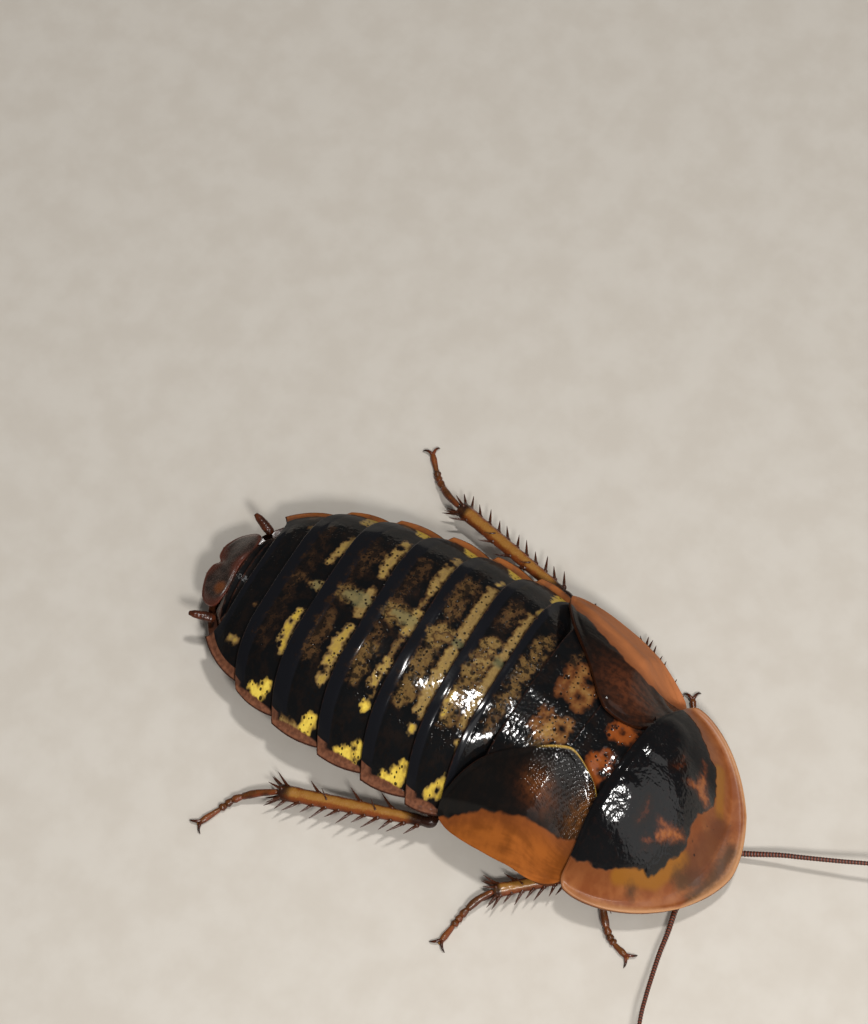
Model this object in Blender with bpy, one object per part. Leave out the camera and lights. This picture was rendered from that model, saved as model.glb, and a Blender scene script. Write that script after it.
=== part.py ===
# Adult female blaptica cockroach as a life-size still model, standing in a natural pose.
# Sizes are in millimetres in the animal's own frame: +X is its left, +Y its tail, +Z up, floor at 0.
# The waist, where the short wing pads end, is at y = 0. The finished model is centred on its box.
import math

import bmesh
import bpy
from mathutils import Matrix, Vector

MM = 0.001
GAP = 0.3
SIDES = ((1, "left"), (-1, "right"))

# Body plan: half width, margin height and ridge height along the body
BODY_HALF_WIDTH = 9.95
TAPER_START, TAPER_LENGTH, TAPER_POWER = 3.5, 20.16, 2.8
MARGIN_Z, MARGIN_DROP, MARGIN_START, MARGIN_LENGTH = 3.9, 0.5, 6.0, 15.0
RIDGE_Z, RIDGE_DROP, RIDGE_POWER, RIDGE_START, RIDGE_LENGTH = 8.85, 4.9, 2.95, 2.0, 20.0
SHOULDER_DROP, SHOULDER_START, SHOULDER_LENGTH = 0.75, -5.5, 4.5
DOME_POWER, DOME_EASE = 3.5, 1.25
SHELL = 0.55

# The seven abdominal tergites: rear edge on the midline, and how far its corners sweep forward
TERGITES = ((0.65, 0.85), (3.7, 1.0), (7.2, 1.0), (10.78, 1.1), (14.65, 1.05), (18.15, 1.05), (20.2, -0.9))
TERGITE_ROWS = (0.0, 0.22, 0.6, 1.0)
ABDOMEN_FRONT, FRONT_HALF_WIDTH = -1.4, 8.4
STEP_RISE, STEP_RUN, STEP_AT_MARGIN = 0.34, 0.14, 0.35
SCALLOP, SCALLOP_POWER, CORNER_INSET = 0.62, 2.2, 0.12
FIRST_SWEEP, SWEEP_POWER = 0.2, 6
BELLY_LINE = ((-2.0, 3.25), (3.9, 3.25), (6.5, 1.5), (9.5, 1.0), (15.0, 1.1), (19.0, 1.5), (21.0, 2.0))
BELLY_SPAN, BELLY_POWER, BELLY_EASE = 0.95, 2.6, 1.1

# Rings of the tail: (y, half width, top, underside, margin height, sweep); the last ones are the lower shelf
TAIL_RINGS = (
    (20.35, 4.4, 4.8, 2.0, 2.65, 0.3), (21.05, 3.75, 4.5, 2.05, 2.65, 0.4), (21.1, 3.3, 2.75, 2.1, 2.35, 0.4),
    (22.2, 2.9, 2.62, 1.95, 2.35, 0.5), (22.9, 1.9, 2.5, 2.0, 2.35, 0.5),
)
SHELF_EDGE_Z = 2.15

# Supra-anal plate: its left half outline from the front, with the notch behind
SUPRAANAL_FRONT, SUPRAANAL_NOTCH = (0.0, 21.42), (0.0, 23.2)
SUPRAANAL_HALF = ((1.7, 21.3), (3.1, 21.6), (3.3, 22.3), (2.75, 23.05), (1.5, 23.5), (0.45, 23.48))
SUPRAANAL_Z, SUPRAANAL_REAR_Z, SUPRAANAL_CURVE, SUPRAANAL_THICK = 4.45, 3.5, 0.09, 0.5
SUPRAANAL_CENTRE = (0.0, 22.35)
CERCUS = ((3.98, 21.5, 3.05), (4.12, 21.9, 3.2), (4.3, 22.35, 3.3), (4.48, 22.85, 3.4))
CERCUS_HALF = ((0.3, 0.26), (0.39, 0.34), (0.35, 0.3), (0.16, 0.15))

# Thorax under the wing pads, with the rear edges of its two notal plates
THORAX_FRONT, THORAX_REAR = -11.0, -1.7
MESONOTUM_EDGE = -6.15
THORAX_PLATES = (
    (THORAX_FRONT, 0.0), (-8.6, 0.06), (MESONOTUM_EDGE, 0.25), (MESONOTUM_EDGE + STEP_RUN, 0.0), (-3.6, 0.12),
    (THORAX_REAR, STEP_RISE),
)
THORAX_BOTTOM, THORAX_LOW_EDGE_Z, THORAX_EDGE_Z, THORAX_EDGE_RISE = 3.25, 3.4, 3.85, 0.35
THORAX_FRONT_HALF, THORAX_HALF_WIDTH, THORAX_WIDENS = 6.4, 8.5, 6.0
THORAX_DOME_SPAN, THORAX_DOME_POWER = 0.98, 1.15

# Small body under the shield: (y, half width) of its rings
PROTHORAX_RINGS = ((-13.1, 2.4), (-12.7, 3.2), (-12.1, 3.9), (-11.6, 3.9))
PROTHORAX_EDGE_Z, PROTHORAX_LOW_EDGE_Z, PROTHORAX_BOTTOM = 3.6, 3.4, 3.1

# The thorax and head turn to the animal's right, and the tail a little to its left
BEND_START, BEND_LENGTH, BEND_ANGLE = 2.0, 7.0, math.radians(7)
HEAD_SHIFT, HEAD_SHIFT_LENGTH = -0.65, 11.0
TAIL_SHIFT, TAIL_SHIFT_LENGTH = 0.15, 8.0

# Pronotum shield
SHIELD_REAR, SHIELD_FRONT, SHIELD_WIDEST = -9.4, -18.9, -10.9
SHIELD_HALF_WIDTH, SHIELD_POWER = 8.25, 1.66
SHIELD_CORNERS = ((8.18, -10.35), (7.7, -9.9), (6.5, -9.82), (4.2, -9.55))
SHIELD_LEAN = 0.044
SHIELD_TOP_RINGS = (0.0, 0.2, 0.4, 0.58, 0.73, 0.86, 0.96, 1.0)
SHIELD_LOW_RINGS = (1.0, 0.9, 0.74, 0.5, 0.25, 0.0)
BRIM_REAR_Z, BRIM_FRONT_Z = 3.35, 1.8
HUMP_Z, HUMP_HALF_WIDTH, HUMP_LENGTH = 5.5, 7.9, 7.7
HUMP_POWER, HUMP_EASE = 2.6, 1.3
SHIELD_CENTRE = (0.0, -13.2)
SHIELD_CLEARANCE = 0.28

# Wing pads (tegmina), as the left one's outline
TEGMEN_OUTLINE = (
    (1.85, -7.0), (2.3, -5.7), (3.9, -3.8), (5.8, -1.6), (7.6, -0.35), (8.9, 0.1), (9.7, -0.25),
    (9.95, -1.9), (9.75, -4.4), (9.25, -6.9), (8.45, -9.1), (6.9, -10.3), (4.5, -10.2), (2.7, -9.0),
)
TEGMEN_CENTRE = (6.3, -5.0)
TEGMEN_LIFT, TEGMEN_THICK = 0.3, 0.45
TEGMEN_MARGIN_DROP, TEGMEN_ROOM = 0.9, 0.12
TEGMEN_SPANS = ((-10.3, 8.2), (-9.1, 8.8), (-6.9, 9.6), (-4.4, 10.1), (-1.9, 10.3), (0.5, 10.3))
TEGMEN_EMERGES, TEGMEN_RISE_LENGTH = 0.1, 3.2
TEGMEN_TOP_RINGS, TEGMEN_LOW_RINGS = (0.0, 0.22, 0.42, 0.6, 0.76, 0.9, 1.0), (1.0, 0.85, 0.6, 0.3, 0.0)
TEGMEN_VEIN = ((8.75, -0.1), (7.9, -3.0), (7.2, -6.2), (6.0, -9.6))
VEIN_RISE, VEIN_HALF_WIDTH = 0.22, 0.72

# Head, face down under the shield: (y, half width, top, underside) from the crown back to the mouth
HEAD_RINGS = (
    (-16.75, 0.9, 1.75, 1.15), (-16.3, 1.7, 2.0, 0.95), (-15.5, 2.15, 2.6, 0.8), (-14.6, 2.1, 3.0, 0.72),
    (-13.8, 1.75, 2.9, 0.68), (-13.3, 1.3, 2.5, 0.7),
)
EYE = ((2.5, -15.9, 1.55), (2.72, -15.4, 1.75), (2.72, -14.8, 1.85), (2.5, -14.3, 1.8))
EYE_HALF = ((0.16, 0.35), (0.26, 0.55), (0.26, 0.55), (0.16, 0.35))
PALP = ((1.0, -13.0, 0.62), (1.75, -13.1, 0.45), (2.3, -13.9, 0.4), (2.55, -14.9, 0.42), (2.5, -15.7, 0.45))
PALP_HALF = ((0.2, 0.2), (0.25, 0.25), (0.25, 0.25), (0.27, 0.27), (0.2, 0.2))

# Legs: root and tip of each hip (coxa) on the straight body; knee, ankle and toe line as they stand.
# The last toe length lies along the floor at TOE_Z.
TOE_Z = 0.2
HIPS = {
    "hind": ((3.3, -2.7, 2.3), (1.9, 2.7, 2.15)),
    "mid": ((1.95, -8.6, 2.3), (1.45, -5.0, 2.15)),
    "front": ((2.15, -12.75, 2.2), (1.0, -10.4, 2.1)),
}
LEG_SIZE = {"hind": 1.0, "mid": 0.88, "front": 0.74}
TIBIA_SPINES = {"hind": 10, "mid": 7, "front": 5}
LEGS = {
    ("hind", "right"): (
        (-9.6, 0.7, 2.3), (-12.35, 11.2, 1.45),
        ((-13.0, 12.5, 0.95), (-13.9, 13.65, 0.55), (-14.75, 14.2, TOE_Z), (-16.4, 14.95, TOE_Z)),
    ),
    ("hind", "left"): (
        (9.95, 0.5, 2.3), (13.2, 11.1, 1.45),
        ((13.9, 12.4, 0.95), (14.75, 13.5, 0.55), (15.5, 14.2, TOE_Z), (16.8, 15.3, TOE_Z)),
    ),
    ("mid", "right"): (
        (-7.55, -9.9, 1.6), (-11.55, -4.95, 1.15),
        ((-12.45, -4.35, 0.8), (-13.55, -3.95, 0.55), (-14.3, -3.75, TOE_Z), (-15.95, -3.5, TOE_Z)),
    ),
    ("mid", "left"): (
        (5.65, -10.1, 1.6), (9.6, -5.25, 1.1),
        ((10.15, -4.4, 0.75), (10.5, -3.4, 0.52), (10.7, -2.7, TOE_Z), (10.95, -1.2, TOE_Z)),
    ),
    ("front", "right"): (
        (-6.0, -11.4, 2.0), (-8.75, -11.75, 1.2),
        ((-9.25, -12.15, 0.85), (-10.05, -12.85, 0.5), (-10.55, -13.6, TOE_Z), (-10.95, -14.7, TOE_Z)),
    ),
    ("front", "left"): (
        (3.4, -12.6, 2.0), (5.8, -11.7, 1.2),
        ((6.3, -11.35, 0.8), (6.85, -11.0, 0.45), (7.25, -10.75, TOE_Z), (8.15, -10.2, TOE_Z)),
    ),
}
COXA_HALF, FEMUR_HALF, TIBIA_HALF = (1.25, 0.72), (0.85, 0.55), (0.58, 0.42)
COXA_STATIONS = ((0, 0.6), (0.25, 0.95), (0.55, 1), (0.85, 0.7), (1, 0.42))
FEMUR_STATIONS = ((0, 0.42), (0.18, 0.82), (0.42, 1), (0.7, 0.85), (0.92, 0.62), (1, 0.48))
TIBIA_STATIONS = ((0, 0.8), (0.2, 0.85), (0.5, 0.92), (0.8, 1), (1, 1.12))
FEMUR_ROOT_Z, HIP_CLEARANCE = 1.5, 0.42
KNEE_TO_FEMUR, KNEE_TO_TIBIA, TIBIA_TO_ANKLE = 0.5, 0.65, 0.15
TARSUS_RADIUS, TARSUS_BEADS, TARSUS_GAP = 0.3, 4, 0.6
SPINE_LENGTH, SPINE_RADIUS, SPINE_TIP, SPINE_SINK = 1.25, 0.25, 0.07, 0.3
SPINE_OUT = 0.7
FEMUR_SPINES, FEMUR_SPINE_LENGTH = (0.48, 0.64, 0.8), 0.95
FEMUR_SPINE_SLANT, FEMUR_SPINE_TILT = 0.7, -0.2
TIBIA_SPINES_FROM, TIBIA_SPINES_SPAN = 0.08, 0.86
TIBIA_SPINE_SLANT, TIBIA_SPINE_TILT = 0.85, 0.18
END_SPINE_BACK, END_SPINE_LENGTH = 0.2, 1.0
CLAW_SINK, CLAW_LIFT, CLAW_BEND, CLAW_POINT, CLAW_TIP_Z = 0.16, 0.06, (0.42, 0.3), (0.36, 0.24), 0.12
CLAW_HALF = ((0.07, 0.07), (0.17, 0.15), (0.2, 0.17), (0.17, 0.15), (0.07, 0.07))

# Antennae: scape root, then the line that each one follows, in the turned frame
ANTENNAE = {
    "left": (
        (-1.35, -17.1, 0.9), (-0.85, -18.5, 0.9), (0.0, -20.67, 1.38), (0.45, -22.0, 1.6),
        (1.3, -24.39, 1.93), (1.94, -26.11, 2.2), (3.4, -29.7, 2.4), (5.3, -33.1, 2.3), (7.4, -36.1, 1.9),
    ),
    "right": (
        (-4.75, -16.75, 0.9), (-6.6, -16.2, 0.95), (-8.46, -16.51, 1.16), (-10.07, -16.7, 1.42),
        (-11.9, -17.02, 1.68), (-13.41, -17.32, 1.94), (-15.15, -17.75, 2.2), (-18.5, -18.9, 2.35),
        (-21.8, -20.4, 2.2), (-24.6, -22.2, 1.8),
    ),
}
ANTENNA_RADIUS, ANTENNA_TIP = 0.26, 0.14
SCAPE_HALF, SCAPE_SHARE, SCAPE_GAP = ((0.3, 0.3), (0.4, 0.38), (0.3, 0.3)), 0.62, 0.12

COLOURS = {
    "dark_shell": (0.035, 0.025, 0.02), "amber_rim": (0.45, 0.17, 0.05), "wing_pad": (0.12, 0.045, 0.02),
    "leg_amber": (0.35, 0.14, 0.04), "belly": (0.16, 0.07, 0.03), "feeler": (0.12, 0.045, 0.025),
    "eye": (0.01, 0.01, 0.01),
}


def clear_scene():
    for thing in list(bpy.data.objects):
        bpy.data.objects.remove(thing)


def material(slot):
    found = bpy.data.materials.get(slot)
    if found:
        return found
    made = bpy.data.materials.new(slot)
    made.use_nodes = True
    shader = made.node_tree.nodes["Principled BSDF"]
    shader.inputs["Base Color"].default_value = (*COLOURS[slot], 1)
    shader.inputs["Roughness"].default_value = 0.25
    shader.inputs["Metallic"].default_value = 0.0
    return made


def bend(point):
    """The animal turns its thorax and head: a straight-body point moved to its turned place."""
    x, y, z = point
    forward = BEND_START - y
    x += HEAD_SHIFT * ease(forward / HEAD_SHIFT_LENGTH) + TAIL_SHIFT * ease(-forward / TAIL_SHIFT_LENGTH)
    if forward <= 0:
        return Vector((x, y, z))
    radius = BEND_LENGTH / BEND_ANGLE
    turn = min(forward, BEND_LENGTH) / radius
    past = max(0.0, forward - BEND_LENGTH)
    reach = radius + x
    return Vector((reach * math.cos(turn) - radius - past * math.sin(turn),
                   BEND_START - reach * math.sin(turn) - past * math.cos(turn), z))


def bend_head(point):
    """The shield and the head lean a little further to the same side."""
    x, y, z = point
    return bend((x - SHIELD_LEAN * max(0.0, SHIELD_REAR - y), y, z))


def mix(a, b, share):
    return a + (b - a) * share


def ease(value):
    value = min(1.0, max(0.0, value))
    return value * value * (3 - 2 * value)


def between(table, value):
    """Straight-line reading of a table of (position, value) pairs."""
    for (a, low), (b, high) in zip(table, table[1:]):
        if value <= b:
            return mix(low, high, max(0.0, (value - a) / (b - a)))
    return table[-1][1]


def smooth_line(points, steps, closed=False):
    """Catmull-Rom curve through the points, each span cut into the given steps."""
    points = [Vector(p) for p in points]
    spans = len(points) if closed else len(points) - 1
    line = []
    for i in range(spans):
        if closed:
            a, b, c, d = (points[(i + k) % len(points)] for k in (-1, 0, 1, 2))
        else:
            b, c = points[i], points[i + 1]
            a = points[i - 1] if i else 2 * b - c
            d = points[i + 2] if i + 2 < len(points) else 2 * c - b
        for k in range(steps):
            t = k / steps
            line.append(0.5 * (2 * b + (c - a) * t + (2 * a - 5 * b + 4 * c - d) * t * t
                               + (3 * b - a - 3 * c + d) * t ** 3))
    return line if closed else line + [points[-1]]


def half_width(y):
    taper = max(0.0, y - TAPER_START) / TAPER_LENGTH
    return BODY_HALF_WIDTH * math.sqrt(max(0.02, 1 - taper ** TAPER_POWER))


def margin_z(y):
    return MARGIN_Z - MARGIN_DROP * (max(0.0, y - MARGIN_START) / MARGIN_LENGTH) ** 2


def ridge_z(y):
    back = RIDGE_DROP * (max(0.0, y - RIDGE_START) / RIDGE_LENGTH) ** RIDGE_POWER
    front = SHOULDER_DROP * ease((SHOULDER_START - y) / SHOULDER_LENGTH)
    return RIDGE_Z - back - front


def fall(share, power=DOME_POWER, easing=DOME_EASE):
    """Cross-section of a domed plate: 1 on the midline, easing to 0 at its margin."""
    return (1 - min(1.0, abs(share)) ** power) ** easing


def hump_z(x, y):
    """Top of the pronotum shield: a hump at the rear that flares to a flat brim."""
    along = (SHIELD_REAR - y) / (SHIELD_REAR - SHIELD_FRONT)
    reach = math.hypot(x / HUMP_HALF_WIDTH, max(0.0, SHIELD_REAR - y) / HUMP_LENGTH)
    return mix(BRIM_REAR_Z, BRIM_FRONT_Z, along) + HUMP_Z * fall(reach, HUMP_POWER, HUMP_EASE)


def under_shield_z(x, y):
    """Highest that anything under the shield may stand, for a place on the body."""
    lean = SHIELD_LEAN * max(0.0, SHIELD_REAR - y)
    return hump_z(x + lean, min(y, SHIELD_REAR)) - SHELL - GAP - SHIELD_CLEARANCE


def tegmen_z(side, x, y):
    """Top of a wing pad: it rides on the dome and slips under the shield."""
    under_shield = under_shield_z(side * x, y)
    doming = fall(x / between(TEGMEN_SPANS, y))
    over_dome = mix(MARGIN_Z - TEGMEN_MARGIN_DROP, ridge_z(y), doming) + TEGMEN_LIFT
    return mix(under_shield, over_dome, ease((y - SHIELD_REAR - TEGMEN_EMERGES) / TEGMEN_RISE_LENGTH))


def add_object(name, bm, slot):
    bmesh.ops.recalc_face_normals(bm, faces=bm.faces)
    mesh = bpy.data.meshes.new(name)
    bm.to_mesh(mesh)
    bm.free()
    mesh.transform(Matrix.Scale(MM, 4))
    mesh.materials.append(material(slot))
    mesh.shade_smooth()
    mesh.set_sharp_from_angle(angle=math.radians(40))
    thing = bpy.data.objects.new(name, mesh)
    bpy.context.scene.collection.objects.link(thing)
    return thing


def wrap_grid(around, along, place):
    """A grid rolled into a closed skin: place(u, v) gives each point, u round the skin and v along it."""
    bm = bmesh.new()
    bmesh.ops.create_grid(bm, x_segments=around, y_segments=along, size=0.5)
    for vert in bm.verts:
        column = round((vert.co.x + 0.5) * around) % around
        vert.co = place(column, round((vert.co.y + 0.5) * along))
    bmesh.ops.remove_doubles(bm, verts=bm.verts, dist=0.001)
    bmesh.ops.dissolve_degenerate(bm, edges=bm.edges, dist=0.0005)
    bmesh.ops.holes_fill(bm, edges=bm.edges, sides=0)
    return bm


def tube(points, halves, sides, flat_up=Vector((0, 0, 1)), on_floor=False):
    """A limb length: elliptical rings along the points, with (half width, half height) at each."""
    points = [Vector(p) for p in points]
    ends = [points[i] + (points[i] - points[j]).normalized() * 0.12 for i, j in ((0, 1), (-1, -2))]
    points = [ends[0], *points, ends[1]]
    halves = [(0, 0), *halves, (0, 0)]

    def place(column, row):
        ahead = points[min(row + 1, len(points) - 1)] - points[max(row - 1, 0)]
        across = ahead.cross(flat_up).normalized()
        up = across.cross(ahead).normalized()
        angle = 2 * math.pi * (column + 0.5) / sides
        wide, high = halves[row]
        at = points[row] + across * wide * math.cos(angle) + up * high * math.sin(angle)
        if on_floor:
            at.z = max(at.z, 0.0)
        return at

    return wrap_grid(sides, len(points) - 1, place)


def lens(outline, centre, top_rings, low_rings, top, low, turn):
    """A plate with a free outline: rings from its centre over the rim and back along the underside."""
    rings = [(share, True) for share in top_rings] + [(share, False) for share in low_rings]

    def place(column, row):
        share, upper = rings[row]
        rim = outline[column]
        x, y = mix(centre[0], rim[0], share), mix(centre[1], rim[1], share)
        return turn((x, y, top(x, y) if upper else low(x, y)))

    return wrap_grid(len(outline), len(rings) - 1, place)


def fuse(body, pieces):
    """One union of the body with its pieces, which are then removed."""
    group = bpy.data.collections.new("pieces")
    for piece in pieces:
        bpy.context.scene.collection.objects.unlink(piece)
        group.objects.link(piece)
    join = body.modifiers.new("join", "BOOLEAN")
    join.operand_type = "COLLECTION"
    join.collection = group
    join.operation = "UNION"
    join.solver = "EXACT"
    apply_modifiers(body)
    for piece in pieces:
        bpy.data.objects.remove(piece)
    bpy.data.collections.remove(group)
    keep_largest(body)
    return body


def cut(body, cutter):
    take = body.modifiers.new("cut", "BOOLEAN")
    take.object = cutter
    take.operation = "DIFFERENCE"
    take.solver = "EXACT"
    apply_modifiers(body)
    keep_largest(body)


def apply_modifiers(body):
    graph = bpy.context.evaluated_depsgraph_get()
    made = bpy.data.meshes.new_from_object(body.evaluated_get(graph))
    body.modifiers.clear()
    body.data = made
    made.name = body.name


def keep_largest(body):
    bm = bmesh.new()
    bm.from_mesh(body.data)
    waiting, islands = set(bm.verts), []
    while waiting:
        front = [waiting.pop()]
        island = set(front)
        while front:
            for edge in front.pop().link_edges:
                for vert in edge.verts:
                    if vert in waiting:
                        waiting.discard(vert)
                        island.add(vert)
                        front.append(vert)
        islands.append(island)

    def diagonal(island):
        lows, highs = ([pick(v.co[k] for v in island) for k in range(3)] for pick in (min, max))
        return math.dist(lows, highs)

    islands.sort(key=diagonal, reverse=True)
    loose = [vert for island in islands[1:] for vert in island]
    bmesh.ops.delete(bm, geom=loose, context="VERTS")
    bm.to_mesh(body.data)
    bm.free()


def cone(at, towards, length, radius, tip=SPINE_TIP, sides=5):
    """A spine or claw, its root sunk into what it grows from."""
    towards = Vector(towards).normalized()
    sunk = min(SPINE_SINK, radius * 1.1)
    bm = bmesh.new()
    bmesh.ops.create_cone(bm, cap_ends=True, segments=sides, radius1=radius, radius2=tip, depth=length + sunk)
    middle = Vector(at) + towards * (length - sunk) / 2
    turn = towards.to_track_quat("Z", "Y").to_matrix().to_4x4()
    bmesh.ops.transform(bm, matrix=Matrix.Translation(middle) @ turn, verts=bm.verts)
    return add_object("spine", bm, "leg_amber")


# Abdomen: seven stepped tergites above, plates below, a scalloped flange on each side
TOP_COLUMNS, LOW_COLUMNS = 20, 10


def section(y, half, sweep, top, low, turn):
    """One ring of the body: over the top from the right margin to the left, and back under the belly."""
    ring = []
    for k in range(TOP_COLUMNS + LOW_COLUMNS):
        upper = k <= TOP_COLUMNS
        share = -1 + 2 * k / TOP_COLUMNS if upper else 1 - 2 * (k - TOP_COLUMNS) / LOW_COLUMNS
        if upper:
            share = math.sin(share * math.pi / 2) * 0.35 + share * 0.65
        x = share * half * (1.0 if upper else 0.985)
        at_y = y - sweep * abs(share) ** SWEEP_POWER
        ring.append(turn((x, at_y, top(x, at_y, share) if upper else low(x, at_y, share))))
    ring[0].z, ring[TOP_COLUMNS].z = (ring[k].z for k in (0, TOP_COLUMNS))
    return ring


def abdomen_rows():
    """(y, lift, half width, sweep) of each ring, front to tail."""
    rows = []
    front, first_sweep = ABDOMEN_FRONT, FIRST_SWEEP
    for number, (edge, sweep) in enumerate(TERGITES):
        for share in TERGITE_ROWS:
            y = mix(front, edge, share)
            bow = mix(first_sweep, sweep, share)
            reach = half_width(y - bow) if number else mix(FRONT_HALF_WIDTH, half_width(y), share * 0.9)
            inset = SCALLOP * (1 - share) ** SCALLOP_POWER + CORNER_INSET * share ** 3
            rows.append((y, STEP_RISE * share, reach - inset, bow))
        front, first_sweep = edge + STEP_RUN, sweep
    return rows


def make_abdomen():
    rings = []
    for y, lift, half, sweep in abdomen_rows():

        def top(x, at_y, share, lift=lift, half=half, y=y):
            middle = mix(margin_z(y), ridge_z(y), fall(share))
            return middle - STEP_RISE + lift * mix(STEP_AT_MARGIN, 1.0, fall(share))

        def low(x, at_y, share, lift=lift, y=y):
            flange = margin_z(y) - STEP_RISE + STEP_AT_MARGIN * lift - SHELL
            deep = fall(min(1.0, abs(share) / BELLY_SPAN), BELLY_POWER, BELLY_EASE)
            return mix(flange, between(BELLY_LINE, y) - 0.5 * lift, deep)

        rings.append(section(y, half, sweep, top, low, bend))

    # The narrow last segments, and the shelf of the subgenital plate under the supra-anal plate
    for y, half, high, deep, edge, sweep in TAIL_RINGS:

        def top(x, at_y, share, high=high, edge=edge):
            return mix(edge, high, fall(share, 2.4, 1.0))

        def low(x, at_y, share, deep=deep):
            return mix(SHELF_EDGE_Z, deep, fall(share, 2.0, 1.0))

        rings.append(section(y, half, sweep, top, low, bend))
    bm = wrap_grid(len(rings[0]), len(rings) - 1, lambda column, row: rings[row][column])
    return add_object("abdomen", bm, "dark_shell")


def make_thorax():
    rings = []
    for y, lift in THORAX_PLATES:
        half = mix(THORAX_FRONT_HALF, THORAX_HALF_WIDTH, ease((y - THORAX_FRONT) / THORAX_WIDENS))

        def top(x, at_y, share, y=y, lift=lift):
            edge = THORAX_EDGE_Z + THORAX_EDGE_RISE * ease((y - MESONOTUM_EDGE) / 3)
            ridge = ridge_z(y) - STEP_RISE + lift
            over = mix(edge, ridge, fall(x / (half_width(y) * THORAX_DOME_SPAN)) ** THORAX_DOME_POWER)
            return min(over, under_shield_z(x, y) - 0.1) if y < SHIELD_REAR + 1 else over

        def low(x, at_y, share):
            return mix(THORAX_LOW_EDGE_Z, THORAX_BOTTOM, fall(share))

        rings.append(section(y, half, 0.35 if y < THORAX_REAR else FIRST_SWEEP, top, low, bend))
    bm = wrap_grid(len(rings[0]), len(rings) - 1, lambda column, row: rings[row][column])
    return add_object("thorax", bm, "dark_shell")


def make_prothorax():
    """The small body under the shield that carries the head and the front hips."""
    rings = []
    for y, half in PROTHORAX_RINGS:

        def top(x, at_y, share):
            return mix(PROTHORAX_EDGE_Z, hump_z(x, at_y) - SHELL - GAP - 0.1, fall(share, 2.4, 0.8))

        def low(x, at_y, share):
            return mix(PROTHORAX_LOW_EDGE_Z, PROTHORAX_BOTTOM, fall(share))

        rings.append(section(y, half, 0.0, top, low, bend_head))
    bm = wrap_grid(len(rings[0]), len(rings) - 1, lambda column, row: rings[row][column])
    return add_object("prothorax", bm, "belly")


def shield_outline(count):
    """Half a superellipse in front, and the rounded corners and nearly straight edge behind."""
    front = []
    for k in range(count + 1):
        angle = math.pi * k / count
        x = SHIELD_HALF_WIDTH * math.copysign(abs(math.cos(angle)) ** (2 / SHIELD_POWER), math.cos(angle))
        y = SHIELD_WIDEST + (SHIELD_FRONT - SHIELD_WIDEST) * abs(math.sin(angle)) ** (2 / SHIELD_POWER)
        front.append((x, y))
    right = [(-x, y) for x, y in SHIELD_CORNERS]
    left = [(x, y) for x, y in reversed(SHIELD_CORNERS)]
    return front + right + [(0.0, SHIELD_REAR)] + left


def make_pronotum():
    outline = shield_outline(26)
    bm = lens(outline, SHIELD_CENTRE, SHIELD_TOP_RINGS, SHIELD_LOW_RINGS, hump_z,
              lambda x, y: hump_z(x, y) - SHELL, bend_head)
    return add_object("pronotum", bm, "dark_shell")


def vein_rise(x, y):
    """How far the main vein stands above the wing pad."""
    line = [Vector(p) for p in TEGMEN_VEIN]
    best = 9.0
    for a, b in zip(line, line[1:]):
        share = max(0.0, min(1.0, (Vector((x, y)) - a).dot(b - a) / (b - a).length_squared))
        best = min(best, (Vector((x, y)) - a.lerp(b, share)).length)
    return VEIN_RISE * ease(1 - best / VEIN_HALF_WIDTH)


def tegmen_plate(name, side, grow, top, low):
    outline = smooth_line(TEGMEN_OUTLINE, 3, closed=True)
    centre = Vector(TEGMEN_CENTRE)
    outline = [p + (p - centre).normalized() * grow for p in outline]
    bm = lens(outline, TEGMEN_CENTRE, TEGMEN_TOP_RINGS, TEGMEN_LOW_RINGS, top, low,
              lambda p: bend((side * p[0], p[1], p[2])))
    return add_object(name, bm, "wing_pad")


def make_tegmen(side, word, hosts):
    plate = tegmen_plate("tegmen_" + word, side, 0.0, lambda x, y: tegmen_z(side, x, y) + vein_rise(x, y),
                         lambda x, y: tegmen_z(side, x, y) - TEGMEN_THICK)
    cutter = tegmen_plate("tegmen_room", side, GAP, lambda x, y: tegmen_z(side, x, y) + 3.0,
                          lambda x, y: tegmen_z(side, x, y) - TEGMEN_THICK - GAP - TEGMEN_ROOM)
    for host in hosts:
        cut(host, cutter)
    bpy.data.objects.remove(cutter)
    return plate


def make_supraanal_plate():
    other_half = [(-x, y) for x, y in reversed(SUPRAANAL_HALF)]
    outline = smooth_line([SUPRAANAL_FRONT, *SUPRAANAL_HALF, SUPRAANAL_NOTCH, *other_half], 2, closed=True)
    start, length = SUPRAANAL_FRONT[1], SUPRAANAL_HALF[-1][1] - SUPRAANAL_FRONT[1]

    def top(x, y):
        return mix(SUPRAANAL_Z, SUPRAANAL_REAR_Z, ease((y - start) / length)) - SUPRAANAL_CURVE * x * x

    bm = lens(outline, SUPRAANAL_CENTRE, (0.0, 0.4, 0.75, 1.0), (1.0, 0.5, 0.0), top,
              lambda x, y: top(x, y) - SUPRAANAL_THICK, bend)
    return add_object("supraanal_plate", bm, "amber_rim")


def make_cercus(side, word):
    points = [bend((side * x, y, z)) for x, y, z in CERCUS]
    return add_object("cercus_" + word, tube(points, CERCUS_HALF, 8), "dark_shell")


def make_head():
    rings = []
    for y, half, high, deep in HEAD_RINGS:

        def top(x, at_y, share, high=high, deep=deep):
            return mix((high + deep) / 2, high, fall(share, 2.2, 0.6))

        def low(x, at_y, share, high=high, deep=deep):
            return mix((high + deep) / 2 - 0.05, deep, fall(share, 2.4, 0.6))

        rings.append(section(y, half, 0.0, top, low, bend_head)[::2])
    bm = wrap_grid(len(rings[0]), len(rings) - 1, lambda column, row: rings[row][column])
    return add_object("head", bm, "dark_shell")


def make_eye(side, word):
    points = [bend_head((side * x, y, z)) for x, y, z in EYE]
    return add_object("eye_" + word, tube(points, EYE_HALF, 8), "eye")


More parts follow.
